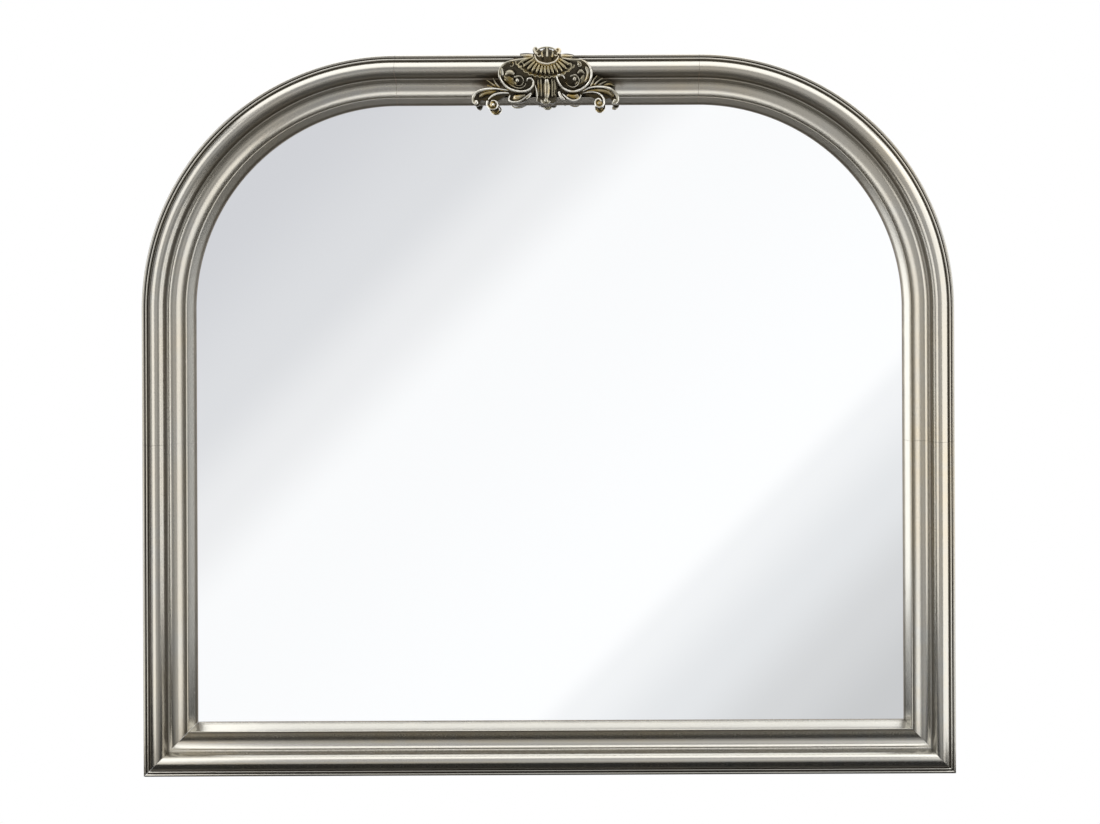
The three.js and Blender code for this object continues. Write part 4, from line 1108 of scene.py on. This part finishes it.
# plated metal, rubber, board, tongues and blocks
plainValues = {
    "zinc": {"base": (0.60, 0.61, 0.62), "other": (0.46, 0.47, 0.50), "spots": (0.30, 0.29, 0.27),
             "roughness": 0.33},
    "brass": {"base": (0.68, 0.50, 0.23), "other": (0.55, 0.38, 0.16), "spots": (0.20, 0.13, 0.07),
              "roughness": 0.30},
    "rubber": {"base": (0.030, 0.030, 0.031), "dust": (0.075, 0.073, 0.070)},
    "board": {"base": (0.250, 0.150, 0.080), "dark": (0.135, 0.075, 0.038), "pale": (0.400, 0.270, 0.160)},
    "beech": {"base": (0.62, 0.43, 0.28), "fleck": (0.40, 0.24, 0.14)},
    "cork": {"base": (0.50, 0.33, 0.19), "grain": (0.17, 0.09, 0.05)},
}


def makePlated(name, values):
    recipe = Recipe(name)
    where = recipe.where()
    drift = recipe.noise(where, 60.0, 3.0, 0.55)
    fine = recipe.noise(where, 700.0, 3.0, 0.6)
    spots = recipe.noise(where, 260.0, 4.0, 0.65).between(0.60, 0.72)
    colour = recipe.mix(drift.between(0.35, 0.65), values["base"], values["other"])
    colour = recipe.mix(0.7 * spots, colour, values["spots"])
    roughness = values["roughness"] + 0.12 * (fine - 0.5) + 0.22 * spots + 0.08 * (drift - 0.5)
    return recipe.surface(colour, roughness, 1.0 - 0.4 * spots, recipe.bump(fine + drift, 0.1, 0.0003))


def makeRubber(values):
    recipe = Recipe("rubber")
    where = recipe.where()
    dust = recipe.noise(where, 120.0, 4.0, 0.6)
    fine = recipe.noise(where, 1500.0, 2.0, 0.6)
    colour = recipe.mix(dust.between(0.45, 0.75), values["base"], values["dust"])
    return recipe.surface(colour, 0.62 + 0.22 * dust, normal=recipe.bump(fine, 0.2, 0.0002))


def makeBoard(values):
    # pressed fibre: threads lying every way under a smooth face
    recipe = Recipe("fibreboard")
    where = recipe.where()
    clouds = recipe.noise(where, 9.0, 4.0, 0.55)
    threads = recipe.noise(where, 240.0, 5.0, 0.7)
    flecks = recipe.noise(where, 620.0, 2.0, 0.6).between(0.62, 0.72)
    colour = recipe.mix(threads.between(0.35, 0.68), values["base"], values["dark"])
    colour = recipe.mix(0.5 * flecks, colour, values["pale"])
    colour = recipe.mix(0.35 * clouds.between(0.4, 0.7), colour, values["dark"])
    return recipe.surface(colour, 0.52 + 0.16 * threads, normal=recipe.bump(threads, 0.16, 0.0004))


def makeBeech(values):
    recipe = Recipe("beech")
    x, y, z = recipe.split(recipe.where())
    rays = recipe.noise(recipe.join(x * 40.0, y * 400.0, z * 400.0), 1.0, 3.0, 0.6)
    colour = recipe.mix(rays.between(0.5, 0.7), values["base"], values["fleck"])
    return recipe.surface(colour, 0.5 + 0.2 * rays, normal=recipe.bump(rays, 0.15, 0.0003))


def makeCork(values):
    recipe = Recipe("cork")
    where = recipe.where()
    cells = recipe.node("ShaderNodeTexVoronoi", {"feature": "F1"}, {"Vector": where, "Scale": 420.0})
    lumps = recipe.noise(where, 300.0, 3.0, 0.6)
    share = (cells + 0.5 * (lumps - 0.5)).between(0.35, 0.75)
    colour = recipe.mix(share, values["base"], values["grain"])
    return recipe.surface(colour, 0.75 + 0.15 * lumps, normal=recipe.bump(cells, 0.4, 0.0006))


def namedPieces(levels, kind):
    return [nodes[f"{level}_{side}_{kind}"] for side in ("left", "right") for level in levels]


plainMaterials = [
    (zincPieces, makePlated("zinc plate", plainValues["zinc"])),
    (brassPieces, makePlated("brass plate", plainValues["brass"])),
    (rubberPieces, makeRubber(plainValues["rubber"])),
    ([nodes["back_board"]], makeBoard(plainValues["board"])),
    (namedPieces(("top", "side", "bottom"), "tongue"), makeBeech(plainValues["beech"])),
    (namedPieces(("bottom", "side"), "block"), makeCork(plainValues["cork"])),
]
for pieces, material in plainMaterials:
    for piece in pieces:
        paint(piece, material)
print("plain materials made")


# stage: floor, cards and lamps
stageValues = {
    "floor": (0.86, 0.86, 0.85), "floorSpeck": (0.83, 0.83, 0.82), "floorSize": (7.0, 5.6, 1.0),
    "floorAt": (0, -0.5, -1.2),
    # the large card behind the camera: its y, its edges and its colours by x - z
    "cardY": -3.0, "cardEdges": (-8, 8, -3, 6),
    "gradient": [(-2.378, (0.69, 0.695, 0.72)), (-1.670, (0.775, 0.78, 0.795)), (-1.297, (0.90, 0.90, 0.905)),
                 (-0.925, (1.03, 1.03, 1.03)), (0.640, (1.06, 1.06, 1.06)), (0.789, (0.96, 0.965, 0.97)),
                 (1.161, (0.84, 0.85, 0.86)), (1.534, (0.715, 0.72, 0.725)), (1.906, (0.63, 0.635, 0.64))],
    # upright cards: name, level, near end and far end as (x, y), foot and head
    "uprights": [("left strip", 2.8, (-1.02, -0.34), (-0.77, -0.62), -0.15, 1.25),
                 ("far left strip", 2.8, (-0.77, -0.62), (-0.98, -1.35), -0.15, 1.25),
                 ("right strip", 2.8, (0.745, -0.2), (1.02, 0.14), -0.15, 1.25),
                 ("far right strip", 2.8, (0.765, -0.5), (0.745, -0.2), -0.15, 1.25),
                 ("left flag", 0.10, (-1.25, -0.10), (-1.25, 1.6), -0.9, 2.2)],
    # level cards: name, levels front and back, half width, front and back as y, their heights
    "levels": [("overhead strip", 2.3, 2.3, 1.15, -0.95, 2.2, 1.62, 1.62),
               ("lower flag", 0.45, 0.03, 1.3, -0.62, -0.14, -0.185, -0.03),
               ("under flag", 0.04, 0.04, 2.4, -0.14, 3.0, -0.03, -0.9)],
    "white": (1, 1, 1), "whiteLevel": 1.0, "fillLevel": 0.45,
}
lampValues = [
    # name, place, what it faces, width and height, watts
    ("top softbox", (0.0, -1.5, 2.7), (0, 0, 0.6), (3.2, 1.7), 40),
    ("left softbox", (-2.1, -1.35, 0.75), (0, 0, 0.55), (1.1, 2.6), 15),
    ("right softbox", (2.15, -1.25, 0.75), (0, 0, 0.55), (1.3, 2.6), 18),
]


def onlyInReflections(piece):
    piece.visible_camera = False
    piece.visible_diffuse = False
    piece.visible_shadow = False


def emissiveCard(name, colour, corners):
    mesh = bpy.data.meshes.new(name)
    mesh.from_pydata([Vector(corner) for corner in corners], [], [(0, 1, 2, 3)])
    card = addObject(name, mesh)
    recipe = Recipe(name)
    sockets = {"Color": colour(recipe, recipe.where()), "Strength": 1.0}
    paint(card, recipe.finish(recipe.node("ShaderNodeEmission", None, sockets)))
    onlyInReflections(card)


def gradientColour(recipe, where):
    x, y, z = recipe.split(where)
    stops = stageValues["gradient"]
    low, high = stops[0][0], stops[-1][0]
    stops = [((spot - low) / (high - low), colour) for spot, colour in stops]
    return recipe.ramp((x - z - low) / (high - low), stops, "EASE")


def evenColour(level):
    def colour(recipe, where):
        return recipe.ramp(recipe.noise(where, 0.8), [(0.3, level * 0.92), (0.7, level * 1.08)])
    return colour


def gradedColour(frontLevel, backLevel, front, back):
    def colour(recipe, where):
        share = (recipe.split(where)[1] - front) / (back - front)
        return recipe.ramp(share, [(0.0, frontLevel), (1.0, backLevel)])
    return colour


def setStage(values):
    y = values["cardY"]
    left, right, foot, head = values["cardEdges"]
    corners = [(left, y, foot), (right, y, foot), (right, y, head), (left, y, head)]
    emissiveCard("light card", gradientColour, corners)
    for name, level, (x0, y0), (x1, y1), low, high in values["uprights"]:
        corners = [(x0, y0, low), (x1, y1, low), (x1, y1, high), (x0, y0, high)]
        emissiveCard(name, evenColour(level), corners)
    for name, frontLevel, backLevel, half, front, back, frontZ, backZ in values["levels"]:
        corners = [(-half, front, frontZ), (half, front, frontZ), (half, back, backZ), (-half, back, backZ)]
        emissiveCard(name, gradedColour(frontLevel, backLevel, front, back), corners)
    clearSelection()
    bpy.ops.mesh.primitive_plane_add(size=1, location=(0, 0, 0))
    floor = bpy.context.object
    floor.name = "floor"
    bpy.ops.transform.resize(value=values["floorSize"])
    bpy.ops.transform.translate(value=values["floorAt"])
    settle(floor)
    recipe = Recipe("pale floor")
    speck = recipe.noise(recipe.where(), 90.0)
    paint(floor, recipe.surface(recipe.mix(speck, values["floor"], values["floorSpeck"]), 0.7))


def setLamps(lamps):
    for name, spot, target, size, watts in lamps:
        lamp = bpy.data.lights.new(name, "AREA")
        lamp.shape = "RECTANGLE"
        lamp.size, lamp.size_y = size
        lamp.energy = watts
        holder = addObject(name, lamp)
        holder.location = spot
        aim = Vector(target) - Vector(spot)
        holder.rotation_euler = aim.to_track_quat("-Z", "Y").to_euler()
        holder.visible_camera = False
        holder.visible_glossy = False


def setWorld(values):
    # white in the picture, in reflections and through glass, and a dimmer fill for everything else
    recipe = Recipe("studio", world=True)
    bpy.context.scene.world = recipe.owner
    paths = [recipe.node("ShaderNodeLightPath", output=f"Is {kind} Ray")
             for kind in ("Camera", "Glossy", "Transmission")]
    shown = paths[0].most(paths[1]).most(paths[2])
    fill, white = (
        recipe.node("ShaderNodeBackground", None, {"Color": values["white"], "Strength": values[level]})
        for level in ("fillLevel", "whiteLevel"))
    recipe.finish(recipe.node("ShaderNodeMixShader", None, {"Fac": shown, 1: fill, 2: white}))


setStage(stageValues)
setLamps(lampValues)
setWorld(stageValues)
bpy.context.scene.view_settings.view_transform = "Standard"
print("stage set")
